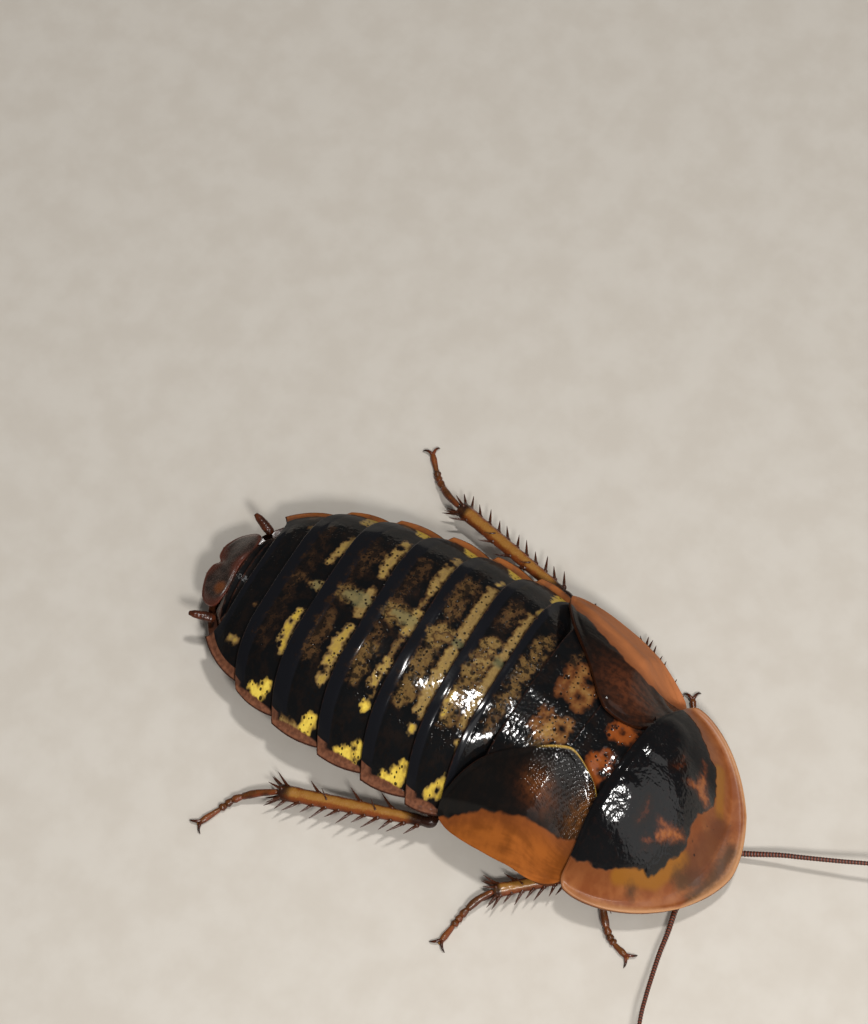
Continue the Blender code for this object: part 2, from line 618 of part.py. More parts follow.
def make_palp(side, word):
    points = [bend_head((side * x, y, z)) for x, y, z in PALP]
    return add_object("palp_" + word, tube(points, PALP_HALF, 6), "leg_amber")


def make_antenna(word):
    route = [Vector(p) for p in ANTENNAE[word]]
    root = route[0]
    scape_end = root.lerp(route[1], SCAPE_SHARE)
    scape = tube([root, root.lerp(scape_end, 0.5), scape_end], SCAPE_HALF, 8)
    add_object("antenna_base_" + word, scape, "feeler")
    start = route[1] + (route[1] - root).normalized() * SCAPE_GAP
    line = smooth_line([start, *route[2:]], 4)
    halves = []
    for k in range(len(line)):
        radius = mix(ANTENNA_RADIUS, ANTENNA_TIP, k / (len(line) - 1))
        halves.append((radius, radius))
    add_object("antenna_" + word, tube(line, halves, 6), "feeler")


def limb(name, a, b, stations, half, size, sides, slot):
    """A limb length from a to b: stations are (share of the length, share of the full width)."""
    points = [Vector(a).lerp(Vector(b), share) for share, _ in stations]
    halves = [(half[0] * size * wide, half[1] * size * (0.3 + 0.7 * wide)) for _, wide in stations]
    return add_object(name, tube(points, halves, sides), slot)


def make_leg(pair, word, side):
    size = LEG_SIZE[pair]
    name = f"{pair}_{word}"
    knee, ankle = (Vector(p) for p in LEGS[pair, word][:2])
    hip_root, hip_tip = (bend((side * x, y, z)) for x, y, z in HIPS[pair])
    limb("coxa_" + name, hip_root, hip_tip, COXA_STATIONS, COXA_HALF, size, 10, "belly")

    outward = (hip_tip - hip_root).cross(Vector((0, 0, side))).normalized()
    femur_root = hip_tip + outward * (COXA_HALF[0] * size * COXA_STATIONS[-1][1] + GAP + HIP_CLEARANCE)
    femur_root.z = FEMUR_ROOT_Z
    thigh = (knee - femur_root).normalized()
    femur_end = knee - thigh * KNEE_TO_FEMUR
    femur = limb("femur_" + name, femur_root, femur_end, FEMUR_STATIONS, FEMUR_HALF, size, 8, "leg_amber")
    edge = thigh.cross(Vector((0, 0, side))).normalized()
    spines = []
    for share in FEMUR_SPINES:
        at = femur_root.lerp(femur_end, share) + edge * FEMUR_HALF[0] * size * SPINE_OUT
        along = edge + thigh * FEMUR_SPINE_SLANT + Vector((0, 0, FEMUR_SPINE_TILT))
        spines.append(cone(at, along, FEMUR_SPINE_LENGTH * size, SPINE_RADIUS))
    fuse(femur, spines)

    shin = (ankle - knee).normalized()
    tibia_root, tibia_end = knee + shin * KNEE_TO_TIBIA, ankle - shin * TIBIA_TO_ANKLE
    tibia = limb("tibia_" + name, tibia_root, tibia_end, TIBIA_STATIONS, TIBIA_HALF, size, 8, "leg_amber")
    across = shin.cross(Vector((0, 0, 1))).normalized()
    spines = []
    count = TIBIA_SPINES[pair]
    for k in range(count):
        share = TIBIA_SPINES_FROM + TIBIA_SPINES_SPAN * k / (count - 1)
        for turn in (side, -side):
            if turn == -side and k % 3 != 1:
                continue
            at = tibia_root.lerp(tibia_end, share) + across * turn * TIBIA_HALF[0] * size * SPINE_OUT
            along = across * turn + shin * TIBIA_SPINE_SLANT + Vector((0, 0, TIBIA_SPINE_TILT))
            spines.append(cone(at, along, SPINE_LENGTH * size, SPINE_RADIUS))
    for turn in (1, -1):
        at = tibia_end + across * turn * TIBIA_HALF[0] * size * SPINE_OUT - shin * END_SPINE_BACK
        along = across * turn + shin * TIBIA_SPINE_SLANT
        spines.append(cone(at, along, END_SPINE_LENGTH * size, SPINE_RADIUS))
    fuse(tibia, spines)
    make_tarsus(name, tibia_end, [Vector(p) for p in LEGS[pair, word][2]])


def make_tarsus(name, tibia_end, foot):
    start = tibia_end + (foot[0] - tibia_end).normalized() * TARSUS_GAP
    line = smooth_line([start, *foot], 2)
    halves = []
    for k in range(len(line)):
        bead = TARSUS_RADIUS * (0.9 + 0.18 * math.cos(2 * math.pi * TARSUS_BEADS * k / (len(line) - 1)))
        halves.append((bead, bead))
    tarsus = add_object("tarsus_" + name, tube(line, halves, 8, on_floor=True), "leg_amber")
    toe = (foot[-1] - foot[-2]).normalized()
    spread = toe.cross(Vector((0, 0, 1))).normalized()
    root = foot[-1] - toe * CLAW_SINK + Vector((0, 0, CLAW_LIFT))
    prongs = []
    for turn in (-1, 1):
        middle = root + toe * CLAW_BEND[0] + spread * turn * CLAW_BEND[1]
        tip = middle + toe * CLAW_POINT[0] + spread * turn * CLAW_POINT[1]
        prongs.append((middle, Vector((tip.x, tip.y, CLAW_TIP_Z))))
    claw_line = [prongs[0][1], prongs[0][0], root, prongs[1][0], prongs[1][1]]
    fuse(tarsus, [add_object("claws", tube(claw_line, CLAW_HALF, 6), "leg_amber")])


def centre_on_box():
    """Moves the whole model so that the centre of its box, at floor level, is the origin."""
    things = [thing for thing in bpy.context.scene.objects if thing.type == "MESH"]
    corners = [vert.co for thing in things for vert in thing.data.vertices]
    middle = [(min(c[k] for c in corners) + max(c[k] for c in corners)) / 2 for k in range(2)]
    lowest = min(c.z for c in corners)
    for thing in things:
        thing.data.transform(Matrix.Translation((-middle[0], -middle[1], -lowest)))


def main():
    clear_scene()
    abdomen = make_abdomen()
    thorax = make_thorax()
    make_prothorax()
    make_pronotum()
    make_supraanal_plate()
    make_head()
    for side, word in SIDES:
        make_tegmen(side, word, (abdomen, thorax))
        make_cercus(side, word)
        make_eye(side, word)
        make_palp(side, word)
        make_antenna(word)
        for pair in HIPS:
            make_leg(pair, word, side)
    centre_on_box()


main()
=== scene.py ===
# Life-size still model of an adult female blaptica cockroach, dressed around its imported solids.
# Lengths in the dictionaries are millimetres on the straight animal: +x its left, +y its tail, +z up.
import math

import bmesh
import bpy
import numpy as np
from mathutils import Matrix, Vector


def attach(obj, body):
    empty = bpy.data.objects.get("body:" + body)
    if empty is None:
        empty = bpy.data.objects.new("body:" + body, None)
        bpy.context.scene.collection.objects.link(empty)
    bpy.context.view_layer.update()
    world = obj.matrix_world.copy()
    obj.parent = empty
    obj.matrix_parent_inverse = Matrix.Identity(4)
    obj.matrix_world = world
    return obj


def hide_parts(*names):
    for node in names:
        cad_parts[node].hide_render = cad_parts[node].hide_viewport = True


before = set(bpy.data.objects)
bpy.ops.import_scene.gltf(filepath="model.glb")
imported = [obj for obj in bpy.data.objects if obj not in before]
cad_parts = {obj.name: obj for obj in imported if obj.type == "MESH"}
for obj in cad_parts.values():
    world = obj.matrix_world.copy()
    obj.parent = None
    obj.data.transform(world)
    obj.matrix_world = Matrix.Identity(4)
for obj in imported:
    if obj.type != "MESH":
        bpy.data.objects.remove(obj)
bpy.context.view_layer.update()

print("frame loaded")

body = {
    "shift": (3.481812, 6.330656, 0.0),  # from the animal's own frame to the row frame
    "halfWidth": 9.95, "taperStart": 3.5, "taperLength": 20.16, "taperPower": 2.8,
    "margin": 3.9, "marginDrop": 0.5, "marginStart": 6.0, "marginLength": 15.0,
    "ridge": 8.85, "ridgeDrop": 4.9, "ridgeStart": 2.0, "ridgeLength": 20.0, "ridgePower": 2.95,
    "shoulderDrop": 0.75, "shoulderStart": -5.5, "shoulderLength": 4.5,
    "bendStart": 2.0, "bendLength": 7.0, "bendAngle": math.radians(7),
    "headShift": -0.65, "headLength": 11.0, "tailShift": 0.15, "tailLength": 8.0,
    "shieldRear": -9.4, "shieldFront": -18.9, "lean": 0.044,
    "shieldLevel": (3.35, 1.8), "hump": 5.5, "humpHalf": 7.9, "humpLength": 7.7,
    "bellyY": (-2.0, 3.9, 6.5, 9.5, 15.0, 19.0, 21.0), "bellyZ": (3.25, 3.25, 1.5, 1.0, 1.1, 1.5, 2.0),
}
sides = ((1, "left"), (-1, "right"))


def ease(value):
    value = np.clip(value, 0.0, 1.0)
    return value * value * (3 - 2 * value)


def mix(a, b, share):
    return a + (b - a) * share


def bell(value, width):
    return np.exp(-(value / width) ** 2)


def fall(share, power=3.5, easing=1.25):
    return (1 - np.minimum(1.0, np.abs(share)) ** power) ** easing  # a domed cross-section


def bend(x, y, z):
    # The straight animal turns its thorax and head to its right
    forward = body["bendStart"] - y
    x = x + body["headShift"] * ease(forward / body["headLength"])
    x = x + body["tailShift"] * ease(-forward / body["tailLength"])
    radius = body["bendLength"] / body["bendAngle"]
    turn = np.clip(forward, 0.0, body["bendLength"]) / radius
    past = np.maximum(0.0, forward - body["bendLength"])
    reach = radius + x
    ahead = forward > 0
    bentX = np.where(ahead, reach * np.cos(turn) - radius - past * np.sin(turn), x)
    bentY = np.where(ahead, body["bendStart"] - reach * np.sin(turn) - past * np.cos(turn), y)
    return np.stack([bentX, bentY, z + 0 * x], -1)


def bendHead(x, y, z):
    return bend(x - body["lean"] * np.maximum(0.0, body["shieldRear"] - y), y, z)


def bentPoint(point, turn=bend):
    return turn(*(np.array(float(c)) for c in point))


def headPoints(points, side=1):
    return [bentPoint((side * x, y, z), bendHead) for x, y, z in points]


def above(height):
    return np.array((0, 0, height))


def ovals(width, flat=1.0):
    return np.stack([width, width * flat], 1)  # half width and half height of each ring of a tube


def spanned(count, shares, values):
    return np.interp(np.linspace(0, 1, count), shares, values)


def halfWidth(y):
    taper = np.maximum(0.0, y - body["taperStart"]) / body["taperLength"]
    return body["halfWidth"] * np.sqrt(np.maximum(0.02, 1 - taper ** body["taperPower"]))


def marginZ(y):
    past = np.maximum(0.0, y - body["marginStart"]) / body["marginLength"]
    return body["margin"] - body["marginDrop"] * past ** 2


def ridgeZ(y):
    past = np.maximum(0.0, y - body["ridgeStart"]) / body["ridgeLength"]
    back = body["ridgeDrop"] * past ** body["ridgePower"]
    shoulder = ease((body["shoulderStart"] - y) / body["shoulderLength"])
    return body["ridge"] - back - body["shoulderDrop"] * shoulder


def humpZ(x, y):
    along = (body["shieldRear"] - y) / (body["shieldRear"] - body["shieldFront"])
    reach = np.hypot(x / body["humpHalf"], np.maximum(0.0, body["shieldRear"] - y) / body["humpLength"])
    return mix(*body["shieldLevel"], along) + body["hump"] * fall(reach, 2.6, 1.3)


def underShieldZ(x, y, room=0.86):
    lean = body["lean"] * np.maximum(0.0, body["shieldRear"] - y)
    return humpZ(x + lean, np.minimum(y, body["shieldRear"])) - room


def smoothLine(points, steps, closed=False):
    # A curve through the points, each span cut into the given steps
    points = np.array(points, float)
    count = len(points)
    line = []
    for i in range(count if closed else count - 1):
        if closed:
            a, b, c, d = (points[(i + k) % count] for k in (-1, 0, 1, 2))
        else:
            b, c = points[i], points[i + 1]
            a = points[i - 1] if i else 2 * b - c
            d = points[i + 2] if i + 2 < count else 2 * c - b
        for k in range(steps):
            t = k / steps
            line.append(0.5 * (2 * b + (c - a) * t + (2 * a - 5 * b + 4 * c - d) * t ** 2
                               + (3 * b - a - 3 * c + d) * t ** 3))
    return np.array(line if closed else line + [points[-1]])


def strokeDepth(x, y, stroke):
    # How deep each place lies inside a brush stroke, given as x, y, radius, x, y, radius ...
    dots = np.array(stroke, float).reshape(-1, 3)
    if len(dots) == 1:
        return dots[0, 2] - np.hypot(x - dots[0, 0], y - dots[0, 1])
    best = np.full(x.shape, -9.0)
    for (ax, ay, ar), (bx, by, br) in zip(dots, dots[1:]):
        length = (bx - ax) ** 2 + (by - ay) ** 2
        share = np.clip(((x - ax) * (bx - ax) + (y - ay) * (by - ay)) / length, 0, 1)
        gap = np.hypot(x - mix(ax, bx, share), y - mix(ay, by, share))
        best = np.maximum(best, mix(ar, br, share) - gap)
    return best


def paintDepth(x, y, strokes):
    # The deepest of some strokes, and their tones blended by depth
    best, weights, tones = np.full(x.shape, -9.0), np.full(x.shape, 1e-9), np.zeros(x.shape)
    for tone, *stroke in strokes:
        depth = strokeDepth(x, y, stroke)
        best = np.maximum(best, depth)
        weight = np.exp(np.clip(depth, -1.2, 1) / 0.08)
        weights += weight
        tones += weight * tone
    return best, tones / weights


def insideDepth(x, y, outline):
    # Distance to a closed outline, positive inside it
    outline = np.array(outline, float)
    inside = np.zeros(x.shape, bool)
    nearest = np.full(x.shape, 99.0)
    for (ax, ay), (bx, by) in zip(outline, np.roll(outline, -1, axis=0)):
        length = (bx - ax) ** 2 + (by - ay) ** 2
        share = np.clip(((x - ax) * (bx - ax) + (y - ay) * (by - ay)) / max(length, 1e-9), 0, 1)
        nearest = np.minimum(nearest, np.hypot(x - mix(ax, bx, share), y - mix(ay, by, share)))
        if ay != by:
            inside ^= ((ay > y) != (by > y)) & (x < ax + (y - ay) * (bx - ax) / (by - ay))
    return np.where(inside, nearest, -nearest)


class Piece:
    # One visible piece: closed skins made from grids, with their surface values

    def __init__(self, name):
        self.name, self.bm = name, bmesh.new()
        self.sample = self.bm.verts.layers.int.new("sample")
        self.values, self.count = {}, 0

    def skin(self, place, sample=None, size=None, **values):
        # place holds a position in mm for every point of a grid; sample says which value each one takes
        rows, columns = place.shape[0] - 1, place.shape[1] - 1
        if sample is None:
            size = (rows + 1) * (columns + 1)
            sample = np.arange(size).reshape(rows + 1, columns + 1)
        made = bmesh.ops.create_grid(self.bm, x_segments=columns, y_segments=rows, size=0.5)["verts"]
        spots = ((place + np.array(body["shift"])) * 0.001).tolist()
        numbers = (sample + self.count).tolist()
        for vert in made:
            k, j = round((vert.co.x + 0.5) * columns), round((vert.co.y + 0.5) * rows)
            vert.co = spots[j][k]
            vert[self.sample] = numbers[j][k]
        bmesh.ops.remove_doubles(self.bm, verts=made, dist=3e-7)
        self.turnOutward({face for vert in made if vert.is_valid for face in vert.link_faces})
        for key, field in values.items():
            self.values.setdefault(key, []).append((self.count, np.asarray(field, float).reshape(size, -1)))
        self.count += size
        return self

    def turnOutward(self, faces):
        bmesh.ops.recalc_face_normals(self.bm, faces=list(faces))
        volume = 0.0
        for face in faces:
            face.normal_update()
            volume += face.calc_area() * face.normal.dot(face.verts[0].co)
        if volume < 0:
            bmesh.ops.reverse_faces(self.bm, faces=list(faces))

    def plate(self, surface, thick, lip=0.12, **values):
        # A plate under a surface: both sides meet in a rounded lip all round
        across, along = np.gradient(surface, axis=1), np.gradient(surface, axis=0)
        normal = np.cross(across, along)
        normal /= np.maximum(1e-9, np.linalg.norm(normal, axis=-1, keepdims=True))
        if normal[..., 2].mean() < 0:
            normal = -normal
        edge = rimDistance(surface)
        sink = 0.5 * thick * (1 - np.sqrt(np.maximum(0, 1 - (1 - np.minimum(edge / lip, 1)) ** 2)))
        top = surface - normal * sink[..., None]
        low = surface - normal * (thick - sink)[..., None]
        place = np.concatenate([top, low[:, -2::-1]], axis=1)
        index = np.arange(surface.shape[0] * surface.shape[1]).reshape(surface.shape[:2])
        count = index.max() + 1
        sample = np.concatenate([index, index[:, -2::-1] + count], axis=1)
        both = {}
        for key, value in values.items():
            field = np.asarray(value, float) if np.ndim(value) else np.full(count, float(value))
            both[key] = np.concatenate([field.reshape(count, -1)] * 2)
        both["edge"] = np.concatenate([edge.reshape(-1, 1)] * 2)
        both["under"] = np.concatenate([np.zeros((count, 1)), np.ones((count, 1))])
        return self.skin(place, sample, 2 * count, **both)

    def tube(self, points, halves, sides=12, floor=False, shape=None, **values):
        # Rings along a line with half width and half height at each, closed at both ends
        points, halves = np.array(points, float), np.array(halves, float)
        ends = [points[i] + (points[i] - points[j]) / max(1e-9, np.linalg.norm(points[i] - points[j]))
                * halves[i].min() * 0.35 for i, j in ((0, 1), (-1, -2))]
        ahead = np.gradient(points, axis=0)
        across = np.cross(ahead, (0.0, 0.0, 1.0))
        across /= np.linalg.norm(across, axis=1, keepdims=True)
        high = np.cross(across, ahead)
        high /= np.linalg.norm(high, axis=1, keepdims=True)
        angle = 2 * math.pi * (np.arange(sides + 1) % sides) / sides
        wide, tall = np.cos(angle)[None, :], np.sin(angle)[None, :]
        swell = 1.0 if shape is None else shape(np.linspace(0, 1, len(points))[:, None], angle[None, :])
        place = (points[:, None] + across[:, None] * (halves[:, :1] * wide * swell)[..., None]
                 + high[:, None] * (halves[:, 1:] * tall * swell)[..., None])
        caps = [np.repeat(end[None, None], sides + 1, axis=1) for end in ends]
        place = np.concatenate([caps[0], place, caps[1]])
        if floor:
            place[..., 2] = np.maximum(place[..., 2], 0.0)
        steps = np.concatenate([[0], np.cumsum(np.linalg.norm(np.diff(points, axis=0), axis=1))])
        run = np.concatenate([[0], steps, [steps[-1]]])
        fields = {"run": run[:, None], "crest": tall, **values}
        return self.skin(place, **{key: value + 0 * place[..., 0] for key, value in fields.items()})

    def finish(self, material, slot, *replaced):
        bmesh.ops.dissolve_degenerate(self.bm, edges=self.bm.edges, dist=1e-7)
        mesh = bpy.data.meshes.new(self.name)
        self.bm.to_mesh(mesh)
        self.bm.free()
        sample = np.zeros(len(mesh.vertices), np.int32)
        mesh.attributes["sample"].data.foreach_get("value", sample)
        for key, parts in self.values.items():
            width = parts[0][1].shape[1]
            table = np.zeros((self.count, width))
            for start, field in parts:
                table[start:start + len(field)] = field
            kind, word = ("FLOAT_VECTOR", "vector") if width == 3 else ("FLOAT", "value")
            made = mesh.attributes.new(key, kind, "POINT")
            made.data.foreach_set(word, table[sample].ravel())
        mesh.attributes.remove(mesh.attributes["sample"])
        mesh.shade_smooth()
        mesh.materials.append(material)
        thing = bpy.data.objects.new(self.name, mesh)
        bpy.context.scene.collection.objects.link(thing)
        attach(thing, "root")
        if replaced:
            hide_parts(*replaced)
        return thing


def rimDistance(surface):
    # Distance to the nearest side of the grid, measured along its lines
    gaps = []
    for axis in (0, 1):
        steps = np.linalg.norm(np.diff(surface, axis=axis), axis=-1)
        run = np.concatenate([np.zeros_like(np.take(steps, [0], axis)), np.cumsum(steps, axis=axis)],
                             axis=axis)
        gaps += [run, np.take(run, [-1], axis) - run]
    return np.minimum.reduce(gaps)


def planField(x, y):
    return np.stack([x, y, 0 * x], -1)


def discGrid(outline, centre, columns, rows, crowd=0.45):
    # A square grid pressed into a free outline, closer towards its rim
    outline = np.array(outline, float)
    offsets = outline - np.array(centre)
    angles = np.arctan2(offsets[:, 1], offsets[:, 0])
    order = np.argsort(angles)
    lines = [np.linspace(-1, 1, n + 1) for n in (columns, rows)]
    a, b = (mix(s, np.sin(s * math.pi / 2), crowd) for s in lines)
    a, b = np.meshgrid(a, b)
    discX, discY = a * np.sqrt(1 - b * b / 2), b * np.sqrt(1 - a * a / 2)
    angle, share = np.arctan2(discY, discX), np.hypot(discX, discY)
    reach = np.interp(angle, angles[order], np.hypot(*offsets.T)[order], period=2 * math.pi)
    x, y = centre[0] + np.cos(angle) * reach * share, centre[1] + np.sin(angle) * reach * share
    return x, y, (1 - share) * reach


# Shader maths

def tint(code):
    parts = [int(code[i:i + 2], 16) / 255 for i in (1, 3, 5)]
    return tuple(c / 12.92 if c <= 0.04045 else ((c + 0.055) / 1.055) ** 2.4 for c in parts) + (1.0,)


def tints(look):
    # The same dictionary with its colour codes made colours
    return {key: tint(value) if isinstance(value, str) else value for key, value in look.items()}


class Link:
    # A socket whose operators add Math nodes

    def __init__(self, kit, socket):
        self.kit, self.socket = kit, socket

    def __add__(self, other):
        return self.kit.maths("ADD", self, other)

    def __sub__(self, other):
        return self.kit.maths("SUBTRACT", self, other)

    def __rsub__(self, other):
        return self.kit.maths("SUBTRACT", other, self)

    def __mul__(self, other):
        return self.kit.maths("MULTIPLY", self, other)

    def __pow__(self, other):
        return self.kit.maths("POWER", self, other)

    __radd__, __rmul__ = __add__, __mul__


class Kit:
    # Builds one material's nodes

    def __init__(self, name):
        self.material = bpy.data.materials.new(name)
        self.material.use_nodes = True
        self.tree = self.material.node_tree
        self.shader = self.tree.nodes["Principled BSDF"]

    def node(self, kind, settings, values, out=0):
        made = self.tree.nodes.new(kind)
        for key, value in settings.items():
            if key == "stops":
                while len(made.color_ramp.elements) > 1:
                    made.color_ramp.elements.remove(made.color_ramp.elements[0])
                made.color_ramp.elements[0].position, made.color_ramp.elements[0].color = value[0]
                for place, colour in value[1:]:
                    made.color_ramp.elements.new(place).color = colour
            else:
                setattr(made, key, value)
        for key, value in values.items():
            self.feed(made.inputs[key], value)
        return Link(self, made.outputs[out])

    def feed(self, socket, value):
        if isinstance(value, Link):
            self.tree.links.new(value.socket, socket)
        else:
            socket.default_value = value

    def maths(self, operation, a, b):
        return self.node("ShaderNodeMath", {"operation": operation}, {0: a, 1: b})

    def value(self, name):
        return self.node("ShaderNodeAttribute", {"attribute_name": name}, {}, 2)

    def vector(self, name):
        return self.node("ShaderNodeAttribute", {"attribute_name": name}, {}, 1)

    def place(self):
        return self.node("ShaderNodeTexCoord", {}, {}, 3)

    def noise(self, vector, scale, detail=2.0, roughness=0.55):
        return self.node("ShaderNodeTexNoise", {},
                         {"Vector": vector, "Scale": scale, "Detail": detail, "Roughness": roughness})

    def cells(self, vector, scale, out=0, randomness=1.0):
        return self.node("ShaderNodeTexVoronoi", {},
                         {"Vector": vector, "Scale": scale, "Randomness": randomness}, out)

    def step(self, value, low, high, start=0.0, end=1.0):
        return self.node("ShaderNodeMapRange", {"interpolation_type": "SMOOTHSTEP"},
                         {0: value, 1: low, 2: high, 3: start, 4: end})

    def blend(self, share, a, b):
        return self.node("ShaderNodeMix", {"data_type": "RGBA"}, {0: share, 6: a, 7: b}, 2)

    def ramp(self, value, stops):
        return self.node("ShaderNodeValToRGB", {"stops": stops}, {0: value})

    def stretch(self, vector, scale):
        return self.node("ShaderNodeVectorMath", {"operation": "MULTIPLY"}, {0: vector, 1: scale})

    def pits(self, vector, scale, small, large, softness=0.016):
        # Round dark pits of mixed sizes, one at most in each cell of the given scale
        chance = self.node("ShaderNodeSeparateColor", {}, {0: self.cells(vector, scale, 1)})
        radius = (chance ** 1.6) * (large - small) + small
        gap = self.cells(vector, scale) * (1 / scale) - radius
        return self.step(gap, -softness, softness, 1.0, 0.0)

    def finish(self, colour, roughness, height=None, depth=0.00001, dull=None, **constants):
        self.feed(self.shader.inputs["Base Color"], colour)
        self.feed(self.shader.inputs["Roughness"], roughness)
        for key, value in constants.items():
            self.shader.inputs[key].default_value = value
        if height is not None:
            bump = self.node("ShaderNodeBump", {}, {"Strength": 1.0, "Distance": depth, "Height": height})
            self.feed(self.shader.inputs["Normal"], bump)
        if dull is not None:  # where dull is 1 the surface has next to no gloss
            matt = self.node("ShaderNodeBsdfPrincipled", {},
                             {"Base Color": colour, "Roughness": 0.7, "Specular IOR Level": 0.1})
            bright = Link(self, self.shader.outputs[0])
            mixed = self.node("ShaderNodeMixShader", {}, {0: dull, 1: bright, 2: matt})
            self.feed(self.tree.nodes["Material Output"].inputs["Surface"], mixed)
        return self.material


print("tools ready")

# Materials

gloss = 1.43  # refractive index of the cuticle
pigmentStops = [(0.0, tint("#110b08")), (0.15, tint("#2b1c12")), (0.3, tint("#4e3721")),
                (0.45, tint("#705731")), (0.6, tint("#917747")), (0.75, tint("#b39540")),
                (0.9, tint("#dab94a")), (1.0, tint("#f0d45a"))]

shellLook = {
    "black": "#090a0c", "brown": "#1c120d", "band": "#101116", "veil": "#76724f", "rust": "#8c4518",
    "flange": "#5e3a2a", "flangeLight": "#7a4e38", "flangePaintedLight": "#96592c", "flangeDark": "#34170d",
    "speckle": "#0e0907", "underside": "#24110a", "roughness": 0.11, "bandRoughness": 0.14,
    "relief": 0.00002,
}


def dressShell():
    # Black glossy cuticle with painted spots, for the plates of abdomen and thorax
    look, kit = tints(shellLook), Kit("bandedShell")
    plan = kit.vector("plan")
    wide, middle, fine = kit.noise(plan, 1.2, 2), kit.noise(plan, 3.4, 3), kit.noise(plan, 8.0, 3)
    jag = (kit.noise(plan, 2.2, 1) - 0.5) * 0.62 + (fine - 0.5) * 0.07
    depth = (kit.value("paint") + jag) * kit.value("crisp")
    paint = kit.step(depth, -0.07, 0.1)
    zone = kit.step(kit.value("mottle") + jag + (wide - 0.5) * 2.4, -0.3, 0.4)
    cloud = kit.noise(plan, 1.7, 4, 0.68) - kit.value("mottleTone") * 0.22
    blotch = kit.maths("MAXIMUM", kit.pits(plan, 2.4, 0.03, 0.2, 0.05), kit.step(cloud, 0.41, 0.48))
    mottle = zone * (1 - blotch * 0.85)
    tone = kit.value("tone") + (middle - 0.5) * 0.22 + (fine - 0.5) * 0.12
    tone += kit.step(depth, 0.0, 0.26, -0.24, 0.03)
    duller = kit.value("mottleTone") + (middle - 0.5) * 0.35 + (fine - 0.5) * 0.12 - (1 - zone) * 0.14
    brown = kit.step(wide + (middle - 0.5) * 0.4, 0.42, 0.72, 0.0, 0.6)
    black = kit.blend(brown, look["black"], look["brown"])
    band = kit.step(kit.value("band") + (wide - 0.5) * 0.2, -0.05, 0.1)
    ground = kit.blend(band, black, look["band"])
    ground = kit.blend(mottle, ground, kit.ramp(duller, pigmentStops))
    pigment = kit.blend(kit.value("warm"), kit.ramp(tone, pigmentStops), look["rust"])
    ground = kit.blend(paint, ground, pigment)
    veil = kit.step(kit.value("veil") + jag, -0.15, 0.25, 0.0, 0.6)
    ground = kit.blend(veil, ground, look["veil"])
    dots = kit.pits(plan, 3.6, 0.045, 0.1)
    spots = kit.pits(plan, 1.4, -0.05, 0.16, 0.022)
    edge = kit.value("edge")
    flange = kit.step(edge + (middle - 0.5) * 0.3 - kit.value("flange"), -0.12, 0.1, 1.0, 0.0)
    rim = kit.blend(kit.step(middle, 0.35, 0.65), look["flange"], look["flangeLight"])
    # painted light: flanges on the animal's left side are painted brighter and more orange than on its right
    rim = kit.blend(kit.value("sunny") * kit.step(wide, 0.3, 0.6, 0.4, 1.0), rim, look["flangePaintedLight"])
    rim = kit.blend(kit.step(edge, 0.05, 0.14, 0.9, 0.0), rim, look["flangeDark"])
    ground = kit.blend(flange, ground, rim)
    speckles = kit.maths("MAXIMUM", spots, dots) * kit.step(band + flange, 0.2, 0.8, 1.0, 0.0)
    ground = kit.blend(speckles * 0.92, ground, look["speckle"])
    ground = kit.blend(kit.value("under") * 0.9, ground, look["underside"])
    rough = kit.step(band, 0, 1, look["roughness"], look["bandRoughness"]) + (fine - 0.5) * 0.06
    ripple = kit.noise(plan, 3.8, 0) * 0.75
    height = (middle * 0.4 + fine * 0.08 + ripple) * (1 - band * 0.85) - speckles * 0.35
    return kit.finish(ground, rough, height, look["relief"], kit.value("dull"), IOR=gloss)


def dressPlain(name, stops, scale, roughness, relief, grain=2600, coat=0.0):
    # Cuticle or skin in one family of browns, mottled by noise
    kit = Kit(name)
    place = kit.place()
    cloud = kit.noise(place, scale, 3, 0.6)
    fine = kit.noise(place, grain, 3)
    colour = kit.ramp(cloud + (fine - 0.5) * 0.25, [(p, tint(c)) for p, c in stops])
    rough = (fine - 0.5) * 0.14 + roughness
    height = fine + kit.noise(place, grain * 3, 2) * 0.5
    return kit.finish(colour, rough, height, relief, **{"Coat Weight": coat})


shieldLook = {"disc": "#0c0c0e", "flange": "#7e4422", "light": "#945a32", "cream": "#bd8c62",
              "inner": "#6c3a1a", "gold": "#8a571a", "smudge": "#43301f", "plum": "#54301e",
              "rim": "#5a2b14", "discBrown": "#2a1610", "pit": "#160d0a", "underside": "#6a3a1e",
              "relief": 0.000022}
rustStops = [(0.0, tint("#180c08")), (0.2, tint("#46200f")), (0.42, tint("#78401c")),
             (0.6, tint("#96592a"))]


